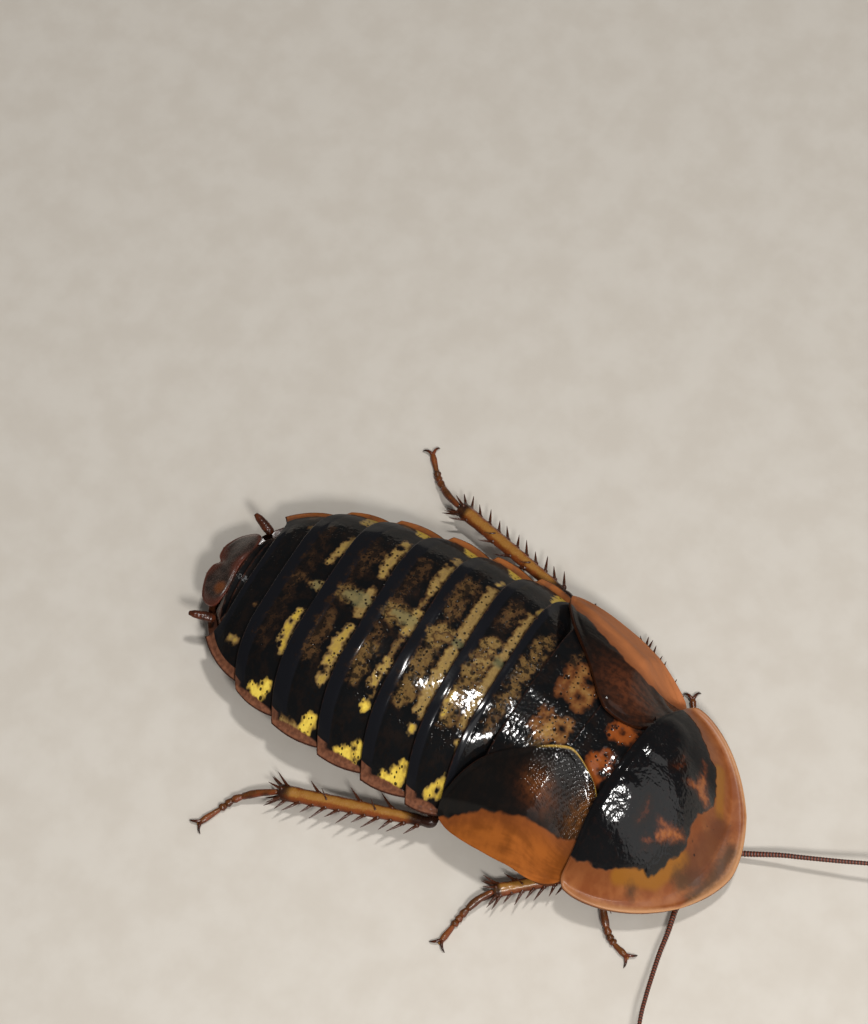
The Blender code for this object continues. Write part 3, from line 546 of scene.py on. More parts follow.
def dressShield():
    look, kit = tints(shieldLook), Kit("shieldShell")
    plan = kit.vector("plan")
    wide, middle, fine = kit.noise(plan, 0.8, 3), kit.noise(plan, 3.0, 3), kit.noise(plan, 9.0, 3)
    jag = (middle - 0.5) * 0.55 + (fine - 0.5) * 0.1
    ragged = (kit.noise(plan, 1.6, 1) - 0.5) * 0.4 + (fine - 0.5) * 0.04
    disc = kit.step(kit.value("disc") + ragged, -0.05, 0.09)
    pits = kit.pits(plan, 2.4, 0.01, 0.075)
    edge = kit.value("edge")
    amber = kit.blend(kit.step(wide, 0.35, 0.7), look["flange"], look["light"])
    amber = kit.blend(kit.step(kit.value("disc") + jag, -1.2, 0.0, 0.0, 0.65), amber, look["inner"])
    amber = kit.blend(kit.value("gold"), amber, look["gold"])
    # painted shade: the head and parts lying under the thin front of the shield, painted as dark olive-brown
    # patches
    smudge = kit.step(kit.value("smudge") + jag * 1.2, -0.35, 0.55, 0.0, 0.85)
    amber = kit.blend(smudge, amber, look["smudge"])
    plum = kit.step(kit.value("plum") + jag, -0.4, 0.5, 0.0, 0.75)
    amber = kit.blend(plum, amber, look["plum"])
    cream = kit.step(edge + (fine - 0.5) * 0.1 + (middle - 0.5) * 0.3, 0.2, 0.85, 0.8, 0.0)
    amber = kit.blend(cream * kit.value("creamy"), amber, look["cream"])
    amber = kit.blend(kit.step(edge, 0.04, 0.12, 0.8, 0.0), amber, look["rim"])
    dark = kit.blend(kit.step(middle, 0.5, 0.75, 0.0, 0.3), look["disc"], look["discBrown"])
    mark = kit.step(kit.value("paint") + jag * 0.9, -0.22, 0.26)
    shade = kit.value("tone") + (middle - 0.5) * 0.3
    shade += kit.step(kit.value("paint") + jag, 0.0, 0.4, -0.26, 0.0)
    dark = kit.blend(mark, dark, kit.ramp(shade, rustStops))
    colour = kit.blend(disc, amber, dark)
    pitted = kit.step(kit.value("plum") + disc, -0.6, 0.5, 0.0, 0.85)
    colour = kit.blend(pits * pitted, colour, look["pit"])
    colour = kit.blend(kit.value("under") * 0.5, colour, look["underside"])
    rough = kit.step(disc, 0, 1, 0.32, 0.12) + (fine - 0.5) * 0.08
    ripple = kit.noise(plan, 3.0, 1) * 1.5 * disc
    height = fine * 0.15 + middle * 0.5 * (disc * 0.7 + 0.3) - pits * 0.4 + ripple
    dull = kit.step(disc, 0, 1, 0.5, 0.0) + kit.value("dull") * disc
    return kit.finish(colour, rough, height, look["relief"], dull, IOR=gloss)


padLook = {"dark": "#0c0a09", "wine": "#542c18", "amber": "#9a5620", "deep": "#7c4316", "gold": "#a08038",
           "sheen": "#b8764e", "outerEdge": "#66341a", "brown": "#130d0a", "rust": "#70431a",
           "rim": "#3f1f10", "underside": "#4a2a18", "relief": 0.000022}


def dressPad():
    # Wing pads: dark inside the main vein, amber outside it, with netted rows of pits
    look, kit = tints(padLook), Kit("wingPad")
    plan, outer = kit.vector("plan"), kit.value("outer")
    wide, middle, fine = kit.noise(plan, 0.7, 3), kit.noise(plan, 2.6, 3), kit.noise(plan, 9.0, 3)
    line = kit.vector("vein")
    net = kit.cells(kit.stretch(line, (4.2, 12.0, 1.0)), 1.0, 0, 0.35)
    stria = kit.noise(kit.stretch(line, (0.5, 7.0, 1.0)), 1.0, 2)
    amber = kit.blend(kit.step(wide + (stria - 0.5) * 0.5, 0.35, 0.7), look["amber"], look["deep"])
    # painted reflection: the left pad's amber is lightened towards a pale pinkish tone
    amber = kit.blend(kit.value("sheen"), amber, look["sheen"])
    amber = kit.blend(kit.step(outer + (middle - 0.5) * 0.5, 0.0, 1.1, 0.6, 0.0), amber, look["outerEdge"])
    dark = kit.blend(kit.step(middle + (wide - 0.5), 0.4, 0.75), look["dark"], look["brown"])
    streaks = kit.step(middle + (stria - 0.5) * 0.6, 0.3, 0.7, 0.35, 1.0)
    dark = kit.blend(kit.value("wine") * streaks, dark, look["wine"])
    dark = kit.blend(kit.value("rust") * kit.step(middle, 0.3, 0.7, 0.2, 1.0), dark, look["rust"])
    ragged = (kit.noise(plan, 1.2, 1) - 0.5) * 0.5 + (fine - 0.5) * 0.04
    share = kit.step(outer + ragged, -0.07, 0.12)
    colour = kit.blend(share, dark, amber)
    rim = kit.step(kit.value("edge") + (fine - 0.5) * 0.12, 0.12, 0.3, 1.0, 0.0)
    colour = kit.blend(rim * kit.value("golden"), colour, look["gold"])
    colour = kit.blend(kit.step(kit.value("edge"), 0.02, 0.08, 0.7, 0.0), colour, look["rim"])
    colour = kit.blend(kit.value("under") * 0.6, colour, look["underside"])
    netted = kit.value("netted")
    netting = kit.step(net, 0.12, 0.5) * netted
    height = netting * 1.15 + stria * 0.6 * (1 - netted) + fine * 0.1 + kit.noise(plan, 3.4, 0) * 0.45
    rough = (middle - 0.5) * 0.08 + kit.step(share, 0, 1, 0.12, 0.38)
    return kit.finish(colour, rough, height, look["relief"], kit.value("dull") + share * 0.3, IOR=gloss)


legLook = {"base": "#72361b", "deep": "#4e2411", "warm": "#874c20", "light": "#96682f", "dark": "#28140c",
           "spine": "#43200f", "relief": 0.000012}


def dressLeg():
    look, kit = tints(legLook), Kit("legAmber")
    place = kit.place()
    middle, fine = kit.noise(place, 1500, 3), kit.noise(place, 6000, 3)
    crest, ends = kit.value("crest"), kit.value("dusky")
    pale = kit.step(crest + (middle - 0.5) * 0.5, 0.72, 0.96) * kit.value("stripe")
    colour = kit.blend(kit.step(middle, 0.35, 0.65), look["base"], look["deep"])
    warm = kit.step(crest, 0.2, 0.75, 0.0, 0.55) * kit.value("stripe")
    colour = kit.blend(warm, colour, look["warm"])
    colour = kit.blend(pale, colour, look["light"])
    colour = kit.blend(kit.step(ends + (middle - 0.5) * 0.5, 0.2, 0.8), colour, look["dark"])
    colour = kit.blend(kit.value("spine"), colour, look["spine"])
    rough = (fine - 0.5) * 0.2 + 0.26
    return kit.finish(colour, rough, fine + middle * 0.8, look["relief"], IOR=gloss)


feelerLook = {"joint": "#2a1610", "ring": "#7c3a22", "dusk": "#4a2a20", "spacing": 0.21, "relief": 0.000006}


def dressFeeler():
    look, kit = tints(feelerLook), Kit("feelerSkin")
    run = kit.value("run")
    ring = kit.node("ShaderNodeMath", {"operation": "FRACT"}, {0: run * (1 / look["spacing"])})
    fine = kit.noise(kit.place(), 9000, 2)
    band = kit.step(kit.maths("ABSOLUTE", ring - 0.5, 0.0), 0.2, 0.4)
    colour = kit.blend(band, look["joint"], look["ring"])
    colour = kit.blend(kit.step(fine, 0.4, 0.7, 0.0, 0.4), colour, look["dusk"])
    return kit.finish(colour, (fine - 0.5) * 0.2 + 0.45, fine, look["relief"])


tailLook = {"smoke": "#2a211d", "pale": "#43352f", "wine": "#4d2a20", "spot": "#7a4218", "rim": "#6b3426",
            "relief": 0.000012}


def dressTail():
    # Last plate: smoky in the middle, red-brown at the rim
    look, kit = tints(tailLook), Kit("tailShell")
    plan = kit.vector("plan")
    middle, fine = kit.noise(plan, 2.4, 3), kit.noise(plan, 9.0, 3)
    rim = kit.step(kit.value("edge") + (middle - 0.5) * 0.35, 0.25, 0.95, 1.0, 0.0)
    colour = kit.blend(kit.step(middle, 0.35, 0.7), look["smoke"], look["pale"])
    colour = kit.blend(rim, colour, look["wine"])
    spot = kit.step(kit.value("paint") + (middle - 0.5) * 0.4, -0.2, 0.25, 0.0, 0.6)
    colour = kit.blend(spot, colour, look["spot"])
    colour = kit.blend(kit.step(kit.value("edge"), 0.05, 0.16, 0.6, 0.0), colour, look["rim"])
    return kit.finish(colour, (fine - 0.5) * 0.16 + 0.27, fine + middle, look["relief"], IOR=gloss)


shellMaterial, shieldMaterial, padMaterial = dressShell(), dressShield(), dressPad()
legMaterial, feelerMaterial, tailMaterial = dressLeg(), dressFeeler(), dressTail()
bellyMaterial = dressPlain("bellyShell", [(0.3, "#2c160c"), (0.5, "#482412"), (0.7, "#6c3b1d")], 650, 0.26,
                           0.000009)
skinMaterial = dressPlain("jointSkin", [(0.3, "#6d4a30"), (0.5, "#9a7048"), (0.75, "#b48c60")], 900, 0.5,
                          0.00002)
faceMaterial = dressPlain("faceShell", [(0.3, "#160d0a"), (0.55, "#3a1c10"), (0.75, "#6e3b1c")], 500, 0.24,
                          0.000009)
eyeMaterial = dressPlain("eyeFacets", [(0.3, "#050505"), (0.7, "#15100e")], 2500, 0.18, 0.000006, 9000, 0.4)
print("materials ready")

# Abdomen: overlapping plates above and below, around a plain core

tergites = {
    "edges": ((0.65, 0.85), (3.7, 1.0), (7.2, 1.0), (10.78, 1.1), (14.65, 1.05), (18.15, 1.05),
              (20.2, -0.9)),
    "bands": (0.55, 0.8, 0.95, 1.05, 1.35, 1.0, 0.5),
    "flange": (0.75, 0.95, 1.0, 1.0, 0.95, 0.9, 1.3),
    "front": -1.4, "frontHalf": 8.4, "rise": 0.34, "run": 0.14, "hidden": 0.6, "thick": 0.2,
    "columns": 170, "rowStep": 0.13,
}

tergitePaint = (
    {"mottle": ((0.4, 3.6, -0.75, 0.55, 0.6, -0.75, 0.65, -2.4, -0.7, 0.55),
                (0.34, -3.0, -0.6, 0.4, -4.4, -0.6, 0.35))},
    {"paint": ((0.54, 4.75, 1.05, 0.3, 2.5, 1.0, 0.42, 0.85, 1.05, 0.4),
               (0.54, -0.2, 1.05, 0.42, -2.6, 1.05, 0.45, -4.8, 1.1, 0.34),
               (0.5, 0.4, 1.9, 0.6, -0.7, 2.1, 0.55, 0.0, 2.5, 0.3), (0.7, 5.75, 0.6, 0.26, 5.3, 0.8, 0.24),
               (0.7, -5.8, 0.65, 0.32, -6.3, 0.4, 0.26),
               (0.84, 8.7, 0.6, 0.6, 7.5, 0.4, 0.6, 6.8, 0.3, 0.34),
               (0.88, -7.5, 0.2, 0.4, -8.25, 0.8, 0.46, -8.75, 1.5, 0.34),
               (0.7, -2.9, 2.6, 0.26, -3.8, 2.6, 0.3, -4.8, 2.55, 0.26)),
     "mottle": ((0.32, 4.6, 2.1, 0.5, 3.7, 2.1, 0.5), (0.5, 1.0, 2.1, 0.6, -1.1, 2.2, 0.7),
                (0.42, -2.0, 2.3, 0.5, -4.8, 2.3, 0.55)),
     "veil": ((0, 0.25, 1.1, 0.42),),
     "holes": ((0, 7.1, 0.2, 0.14), (0, -8.4, 0.9, 0.14), (0, 0.3, 2.2, 0.2), (0, -0.7, 2.0, 0.18),
               (0, 0.5, 1.65, 0.12), (0, -1.9, 1.9, 0.3), (0, -3.1, 2.3, 0.1), (0, -3.9, 2.5, 0.12))},
    {"paint": ((0.54, 5.3, 4.2, 0.4, 3.0, 4.15, 0.52, 0.8, 4.2, 0.5),
               (0.57, -0.4, 4.2, 0.5, -2.5, 4.2, 0.55, -5.2, 4.2, 0.46),
               (0.7, 6.35, 4.1, 0.26, 6.0, 4.15, 0.26), (0.78, -6.25, 4.15, 0.34),
               (0.44, 0.2, 4.9, 0.4, -0.1, 5.6, 0.4), (0.82, 8.3, 4.0, 0.5, 9.1, 4.3, 0.75),
               (0.92, -8.2, 3.7, 0.5, -8.8, 4.1, 0.56, -9.0, 4.75, 0.36)),
     "mottle": ((0.5, 0.2, 5.2, 0.75, -0.2, 5.8, 0.65),
                (0.34, 4.7, 5.55, 0.65, 3.4, 5.6, 0.7, 2.2, 5.6, 0.65),
                (0.42, -1.6, 5.5, 0.6, -3.6, 5.55, 0.7, -4.9, 5.5, 0.6)),
     "veil": ((0, 0.2, 4.2, 0.42),),
     "holes": ((0, -5.62, 4.3, 0.2), (0, 5.65, 4.25, 0.14), (0, -8.0, 3.7, 0.11), (0, -8.1, 4.2, 0.1),
               (0, -8.65, 4.6, 0.12), (0, 4.5, 5.0, 0.2, 3.2, 4.95, 0.22, 1.2, 5.0, 0.24),
               (0, -0.9, 4.95, 0.2, -2.4, 5.0, 0.2))},
    {"paint": ((0.57, 6.5, 7.6, 0.36, 5.2, 7.7, 0.42, 4.0, 7.75, 0.46, 2.6, 7.7, 0.36),
               (0.42, 2.2, 7.7, 0.25, 1.5, 7.75, 0.25), (0.6, 0.9, 7.7, 0.45, -0.75, 7.7, 0.45),
               (0.46, 0.1, 8.3, 0.5, 0.05, 9.2, 0.4), (0.42, -1.45, 7.7, 0.3, -2.7, 7.7, 0.3),
               (0.63, -3.1, 7.7, 0.36, -4.4, 7.85, 0.42, -5.5, 7.75, 0.26, -4.8, 8.2, 0.2),
               (0.92, -6.3, 7.75, 0.4), (0.82, 8.3, 7.6, 0.5, 9.1, 7.9, 0.7),
               (0.93, -8.3, 7.15, 0.48, -8.8, 7.5, 0.52, -8.95, 8.5, 0.24)),
     "mottle": ((0.5, 0.1, 8.6, 0.75, 0.15, 9.5, 0.5), (0.24, 4.4, 9.0, 0.6, 3.0, 9.1, 0.6),
                (0.26, 1.2, 9.4, 0.4), (0.4, -3.1, 9.1, 0.55, -5.0, 9.1, 0.5), (0.3, -1.8, 9.3, 0.4)),
     "veil": ((0, 0.1, 7.9, 0.6, 0.15, 9.0, 0.3),),
     "holes": ((0, 5.7, 7.75, 0.22), (0, 5.2, 8.0, 0.12), (0, 4.15, 8.0, 0.1), (0, -5.45, 7.7, 0.2),
               (0, -8.4, 7.4, 0.1), (0, -8.9, 7.2, 0.08), (0, -4.2, 7.9, 0.1))},
    {"paint": ((0.6, 5.8, 11.35, 0.4, 5.0, 11.35, 0.46, 3.6, 11.45, 0.48, 2.4, 11.3, 0.38),
               (0.56, 0.95, 11.35, 0.44, -0.95, 11.35, 0.44), (0.44, 0.05, 12.2, 0.45, 0.1, 13.0, 0.3),
               (0.66, -2.1, 11.3, 0.34, -3.2, 11.4, 0.48, -4.7, 11.4, 0.5, -6.0, 11.35, 0.4),
               (0.8, 8.0, 11.3, 0.5, 8.7, 11.6, 0.6),
               (0.93, -8.1, 11.05, 0.46, -8.6, 11.3, 0.5), (0.6, -8.75, 12.0, 0.26, -8.6, 13.1, 0.15)),
     "mottle": ((0.46, 0.1, 12.3, 0.65, 0.1, 13.1, 0.4), (0.26, 3.9, 12.5, 0.5, 2.8, 12.6, 0.5),
                (0.3, -2.2, 12.8, 0.5, -3.6, 12.9, 0.55, -4.9, 12.8, 0.5),
                (0.36, 8.6, 12.4, 0.5, 8.5, 13.1, 0.3)),
     "veil": ((0, 0.1, 11.6, 0.7, 0.1, 12.8, 0.3),),
     "holes": ((0, 5.15, 11.5, 0.24), (0, -5.35, 11.55, 0.22), (0, 4.2, 11.75, 0.1),
               (0, -4.4, 11.7, 0.08))},
    {"paint": ((0.6, 4.7, 14.7, 0.3, 3.4, 15.05, 0.42, 1.9, 15.35, 0.26),
               (0.76, -2.2, 15.15, 0.3, -3.6, 15.25, 0.44, -4.5, 15.2, 0.4, -5.3, 14.9, 0.24),
               (0.5, 0.0, 15.0, 0.5, 0.0, 15.6, 0.2),
               (0.66, 6.7, 15.2, 0.4, 7.6, 15.2, 0.5, 8.2, 14.9, 0.4),
               (0.96, -7.3, 15.0, 0.38, -7.75, 15.4, 0.44, -7.6, 16.2, 0.2)),
     "mottle": ((0.3, 0.0, 16.1, 0.4, 0.0, 16.7, 0.3), (0.16, -2.0, 16.7, 0.45, -3.2, 16.8, 0.45),
                (0.14, 3.0, 16.6, 0.6)),
     "veil": ((0, 0.0, 15.1, 0.4),),
     "holes": ((0, -3.2, 15.3, 0.1), (0, -4.4, 15.4, 0.09), (0, -4.9, 15.35, 0.12))},
    {"paint": ((0.66, -5.35, 18.6, 0.3, -5.3, 19.1, 0.24), (0.4, 5.0, 17.9, 0.3, 4.6, 18.3, 0.34),
               (0.36, -2.7, 18.6, 0.24)),
     "mottle": ((0.3, 6.6, 18.9, 0.5, 5.8, 18.9, 0.4), (0.2, 5.2, 19.2, 0.4))},
)


def paintFields(x, y, marks):
    paint, tone = paintDepth(x, y, marks.get("paint", ()))
    mottle, mottleTone = paintDepth(x, y, marks.get("mottle", ()))
    veil, holes = (paintDepth(x, y, marks.get(key, ()))[0] for key in ("veil", "holes"))
    return {"paint": np.minimum(paint, -holes), "tone": tone, "mottle": np.minimum(mottle, -holes),
            "mottleTone": mottleTone, "veil": veil}


def crossShares(columns):
    s = np.linspace(-1, 1, columns + 1)
    return mix(s, np.sin(s * math.pi / 2), 0.35)


def domeShare(share):
    return fall(share / 0.955, 3.9, 1.15)  # the dome ends short of a thin flat flange


def plateRows(start, end, step, lip=0.3):
    count = max(6, round((end - start - lip) / step))
    close = end - lip * (1 - np.linspace(0, 1, 9) ** 0.7)  # rows crowd towards the rounded rear edge
    return np.concatenate([np.linspace(start, end - lip, count, endpoint=False), close])


def makeTergites():
    front, frontSweep = tergites["front"], 0.2
    share = crossShares(tergites["columns"])
    for number, (edge, sweep) in enumerate(tergites["edges"]):
        rows = plateRows(front - tergites["hidden"], edge, tergites["rowStep"])
        s, y = np.meshgrid(share, rows)
        along = (y - front) / (edge - front)
        bow = mix(frontSweep, sweep, np.clip(along, 0, 1))
        inset = 0.62 * np.clip(1 - along, 0, 1.15) ** 2.2 + 0.12 * np.clip(along, 0, 1) ** 3
        reach = halfWidth(y - bow) if number else mix(tergites["frontHalf"], halfWidth(y),
                                                      np.clip(along, 0, 1) * 0.9)
        x, planY = s * (reach - inset), y - bow * np.abs(s) ** 6
        lift = tergites["rise"] * np.minimum(along, 1)
        z = mix(marginZ(y), ridgeZ(y), domeShare(s)) - tergites["rise"] + lift * mix(0.35, 1.0, fall(s))
        band = tergites["bands"][number] - (edge - y)
        z += (0.03 * ease(band / 0.3) - 0.03 * bell(band, 0.08)) * fall(s, 6, 1)
        z += 0.03 * np.sin(x * 1.7 + number) * np.cos(y * 2.3) * fall(s, 4, 1)
        fields = paintFields(x, planY, tergitePaint[number])
        # a brown cast between the marks
        haze = strokeDepth(x, planY, (4.6, edge - 1.5, 0.9, -4.9, edge - 1.5, 0.9)) - 0.2
        fields["mottleTone"] = mix(0.16, fields["mottleTone"], ease((fields["mottle"] + 0.5) / 0.5))
        fields["mottle"] = np.maximum(fields["mottle"], haze if 0 < number < 6 else -9)
        lobe = tergites["flange"][number] * (0.35 + 0.65 * np.sin(math.pi * np.clip(along, 0.05, 0.92)))
        side = np.where(np.abs(s) > 0.9, lobe if number < 6 else tergites["flange"][number], 0.02)
        piece = Piece(f"tergite{number + 1}")
        piece.plate(bend(x, planY, z), tergites["thick"], 0.09, plan=planField(x, planY),
                    band=np.minimum(band, 2.0 - 2.2 * np.abs(s)), flange=side, warm=0, crisp=1,
                    # painted light on the flanges of the left side
                    dull=0.85 * ease((np.abs(s) - 0.5) / 0.25), sunny=ease(x / 4.0), **fields)
        piece.finish(shellMaterial, "dark_shell", *(["abdomen"] if not number else []))
        front, frontSweep = edge + tergites["run"], sweep


makeTergites()
print("tergites done")

tail = {
    "plates": ((19.6, 20.75, 4.45, 4.82, 0.25), (20.55, 21.32, 3.85, 4.6, 0.35)),
    "margin": 2.65, "thick": 0.18,
}


def makeTailPlates():
    piece = Piece("tailRings")
    for start, end, half, high, sweep in tail["plates"]:
        s, y = np.meshgrid(crossShares(70), plateRows(start, end, 0.1, 0.2))
        x, planY = s * half, y - sweep * np.abs(s) ** 3
        z = mix(tail["margin"], high - 0.25 * (end - y), fall(s, 2.4, 1.0))
        piece.plate(bend(x, planY, z), tail["thick"], 0.07, plan=planField(x, planY), paint=-9, tone=0,
                    mottle=-0.5, mottleTone=0.1, veil=-9, band=-9, flange=0.05, warm=0, crisp=1, dull=0.97)
    piece.finish(shellMaterial, "dark_shell")


sternites = {"front": 1.4, "edges": (3.7, 7.2, 10.78, 14.2, 16.9, 22.75), "lastHalf": 7.4,
             "lastStart": 15.2, "lastLength": 7.7, "lowest": 0.75, "lift": 0.12, "thick": 0.18}


def makeSternites():
    # Plates of the belly: five bands and the large rounded last one
    front = sternites["front"]
    for number, edge in enumerate(sternites["edges"]):
        last = edge == sternites["edges"][-1]
        s, y = np.meshgrid(crossShares(90), plateRows(front - 0.5, edge, 0.2, 0.3))
        along = np.clip((y - front) / (edge - front), 0, 1)
        planY = y + (0.5 * along if not last else 0.0) * (np.abs(s) ** 2) * -1.6
        half = halfWidth(y) * 0.93 - 0.2
        if last:
            taper = 1 - np.clip((y - sternites["lastStart"]) / sternites["lastLength"], 0, 1) ** 2.3
            half = sternites["lastHalf"] * np.sqrt(np.maximum(0.02, taper))
        x = s * half
        base = np.interp(y, body["bellyY"], body["bellyZ"])
        rim = np.minimum(marginZ(y) - 0.85, 3.0) if not last else mix(2.9, 2.2, ease((y - 16.5) / 5))
        z = mix(rim, base - 0.17 * along, fall(s, 2.6, 1.1))
        surface = bend(x, planY, np.maximum(z, sternites["lowest"])) + above(sternites["lift"])
        piece = Piece(f"sternite{number + 2}")
        piece.plate(surface, sternites["thick"], 0.1)
        piece.finish(bellyMaterial, "belly")
        front = edge


def sectionRing(y, half, top, low, count=48, turn=bend):
    # One closed ring across the body: over the top and back under
    s = crossShares(count // 2)
    upper = turn(s * half, y + 0 * s, top(s))
    lower = turn(s[::-1] * half, y + 0 * s, low(s[::-1]))
    return np.concatenate([upper, lower[1:-1], upper[:1]])


def loft(name, rings):
    place = np.array(rings)
    caps = [np.repeat(place[i].mean(0)[None, None], place.shape[1], axis=1) for i in (0, -1)]
    return Piece(name).skin(np.concatenate([caps[0], place, caps[1]]))


core = {"front": -1.2, "full": 3.0, "narrowing": 19.0, "rear": 21.6, "rings": 60, "inset": 0.95,
        "frontHalf": 7.4, "rearHalf": 3.2}


def makeCore():
    rings = []
    for y in np.linspace(core["front"], core["rear"], core["rings"]):
        half = halfWidth(min(y, core["narrowing"])) - core["inset"]
        half = mix(half, core["rearHalf"], max(0, (y - core["narrowing"]) / (core["rear"] - core["narrowing"])))
        half = mix(core["frontHalf"], half, min(1, (y - core["front"]) / (core["full"] - core["front"])))
        deep = np.interp(y, body["bellyY"], body["bellyZ"]) + 0.35
        rings.append(sectionRing(y, half, lambda s, y=y: mix(marginZ(y) - 0.7, ridgeZ(y) - 1.0, fall(s)),
                                 lambda s, y=y, deep=deep: mix(marginZ(y) - 0.75, deep, fall(s, 2.6, 1.1))))
    loft("abdomenCore", rings).finish(bellyMaterial, "belly")


makeTailPlates()
makeSternites()
makeCore()

supraanal = {"half": ((1.7, 21.3), (3.1, 21.6), (3.3, 22.3), (2.75, 23.05), (1.5, 23.5), (0.45, 23.48)),
             "front": (0.0, 21.42), "length": 2.06, "notch": (0.0, 23.2), "middle": (0.0, 22.35),
             "high": 4.45, "low": 3.5, "thick": 0.3, "spots": ((1, -2.0, 21.95, 0.42), (1, 2.9, 22.4, 0.1))}
cerci = {"line": ((3.9, 21.3, 2.95), (3.98, 21.5, 3.05), (4.12, 21.9, 3.2), (4.3, 22.35, 3.3),
                  (4.52, 22.95, 3.4)),
         "shares": (0, 0.2, 0.5, 0.85, 1), "widths": (0.24, 0.33, 0.36, 0.29, 0.15), "rings": 8}


def makeSupraanal():
    half = supraanal["half"]
    outline = smoothLine([supraanal["front"], *half, supraanal["notch"], *((-x, y) for x, y in half[::-1])],
                         8, True)
    x, y, edge = discGrid(outline, supraanal["middle"], 70, 40)
    back = ease((y - supraanal["front"][1]) / supraanal["length"])
    z = mix(supraanal["high"], supraanal["low"], back) - 0.09 * x * x
    z += 0.07 * ease((edge - 0.15) / 0.35) - 0.1 * bell(x, 0.35) * ease((y - 22.3) / 1.0)
    paint = paintDepth(x, y, supraanal["spots"])[0]
    piece = Piece("supraanalPlate")
    piece.plate(bend(x, y, z), supraanal["thick"], 0.1, plan=planField(x, y), paint=paint)
    piece.finish(tailMaterial, "amber_rim", "supraanal_plate")


def makeCerci():
    for side, word in sides:
        line = smoothLine(cerci["line"], 12)
        points = bend(side * line[:, 0], line[:, 1], line[:, 2])
        share = np.linspace(0, 1, len(points))
        width = np.interp(share, cerci["shares"], cerci["widths"])
        width *= 1 + 0.02 * np.cos(share * 2 * math.pi * cerci["rings"])
        piece = Piece("cercus" + word.title()).tube(points, ovals(width, 0.8), 20, dusky=0.55)
        piece.finish(legMaterial, "dark_shell", "cercus_" + word)


makeSupraanal()
makeCerci()
print("abdomen done")

# Thorax: two notal plates under the wing pads, and the sternum between the hips

pads = {
    "outline": ((1.85, -7.0), (2.3, -5.7), (3.9, -3.8), (5.8, -1.6), (7.6, -0.35), (8.9, 0.1), (9.7, -0.25),
                (9.95, -1.9), (9.75, -4.4), (9.25, -6.9), (8.45, -9.1), (6.9, -10.3), (4.5, -10.2),
                (2.7, -9.0)),
    "spans": ((-10.3, -9.1, -6.9, -4.4, -1.9, 0.5), (8.2, 8.8, 9.6, 10.1, 10.3, 10.3)),
    "vein": ((8.75, -0.1), (7.9, -3.0), (7.2, -6.2), (6.0, -9.6)), "lift": 0.3, "thick": 0.34,
    "middle": (6.3, -5.0), "root": (6.5, -12.5), "columns": 110, "rows": 130,
    "costal": {
        "left": ((7.2, -11.0), (7.2, -9.0), (6.6, -8.2), (6.0, -7.3), (5.7, -6.0), (5.9, -5.2), (6.3, -4.0),
                 (6.6, -3.0), (7.2, -1.5), (7.9, 0.8)),
        "right": ((5.4, -11.0), (5.8, -9.3), (6.2, -8.0), (6.75, -7.0), (7.2, -6.0), (7.55, -5.0),
                  (7.9, -4.0), (8.15, -3.2), (8.6, -2.4), (9.2, -1.3), (9.9, 0.2)),
    },
}


def padZ(side, x, y):
    over = mix(body["margin"] - 0.9, ridgeZ(y), fall(x / np.interp(y, *pads["spans"]))) + pads["lift"]
    return mix(underShieldZ(side * x, y), over, ease((y - body["shieldRear"] - 0.1) / 3.2))


notum = {
    "plates": ((-11.2, -6.15, 0.25), (-6.35, -1.55, 0.34)), "warm": (0.8, 0.3), "columns": 150,
    "rowStep": 0.13, "thick": 0.22, "half": (6.4, 8.5),
    "paint": (
        {"paint": ((0.4, 3.4, -8.6, 0.6, 1.5, -8.4, 0.9, 1.0, -7.9, 0.5),
                   (0.42, -0.6, -8.5, 0.5, -1.4, -8.4, 0.85, -2.6, -8.4, 0.6)),
         "mottle": ((0.2, 3.2, -8.6, 0.8), (0.2, -2.6, -8.3, 0.6)),
         "holes": ((0, 1.5, -8.3, 0.15), (0, 2.6, -8.9, 0.45), (0, -0.55, -8.5, 0.15), (0, -1.7, -8.9, 0.3),
                   (0, 1.4, -7.7, 0.14))},
        {"paint": ((0.52, 0.9, -4.9, 0.55, 1.7, -4.6, 1.1, 3.2, -3.9, 0.6),
                   (0.46, 0.9, -3.4, 0.4, 2.6, -3.2, 0.4),
                   (0.6, -0.7, -5.2, 0.55, -1.6, -4.7, 1.1, -2.3, -4.0, 0.5),
                   (0.54, -0.8, -3.5, 0.45, -2.2, -3.4, 0.4)),
         "mottle": ((0.3, 3.6, -3.4, 0.7), (0.36, -2.8, -4.0, 0.7)),
         "holes": ((0, 1.35, -4.7, 0.18), (0, 2.75, -4.6, 0.26), (0, 3.3, -5.3, 0.6), (0, -1.1, -5.0, 0.2),
                   (0, -2.35, -5.2, 0.2), (0, -0.5, -3.4, 0.1), (0, -1.4, -3.4, 0.1))},
    ),
}


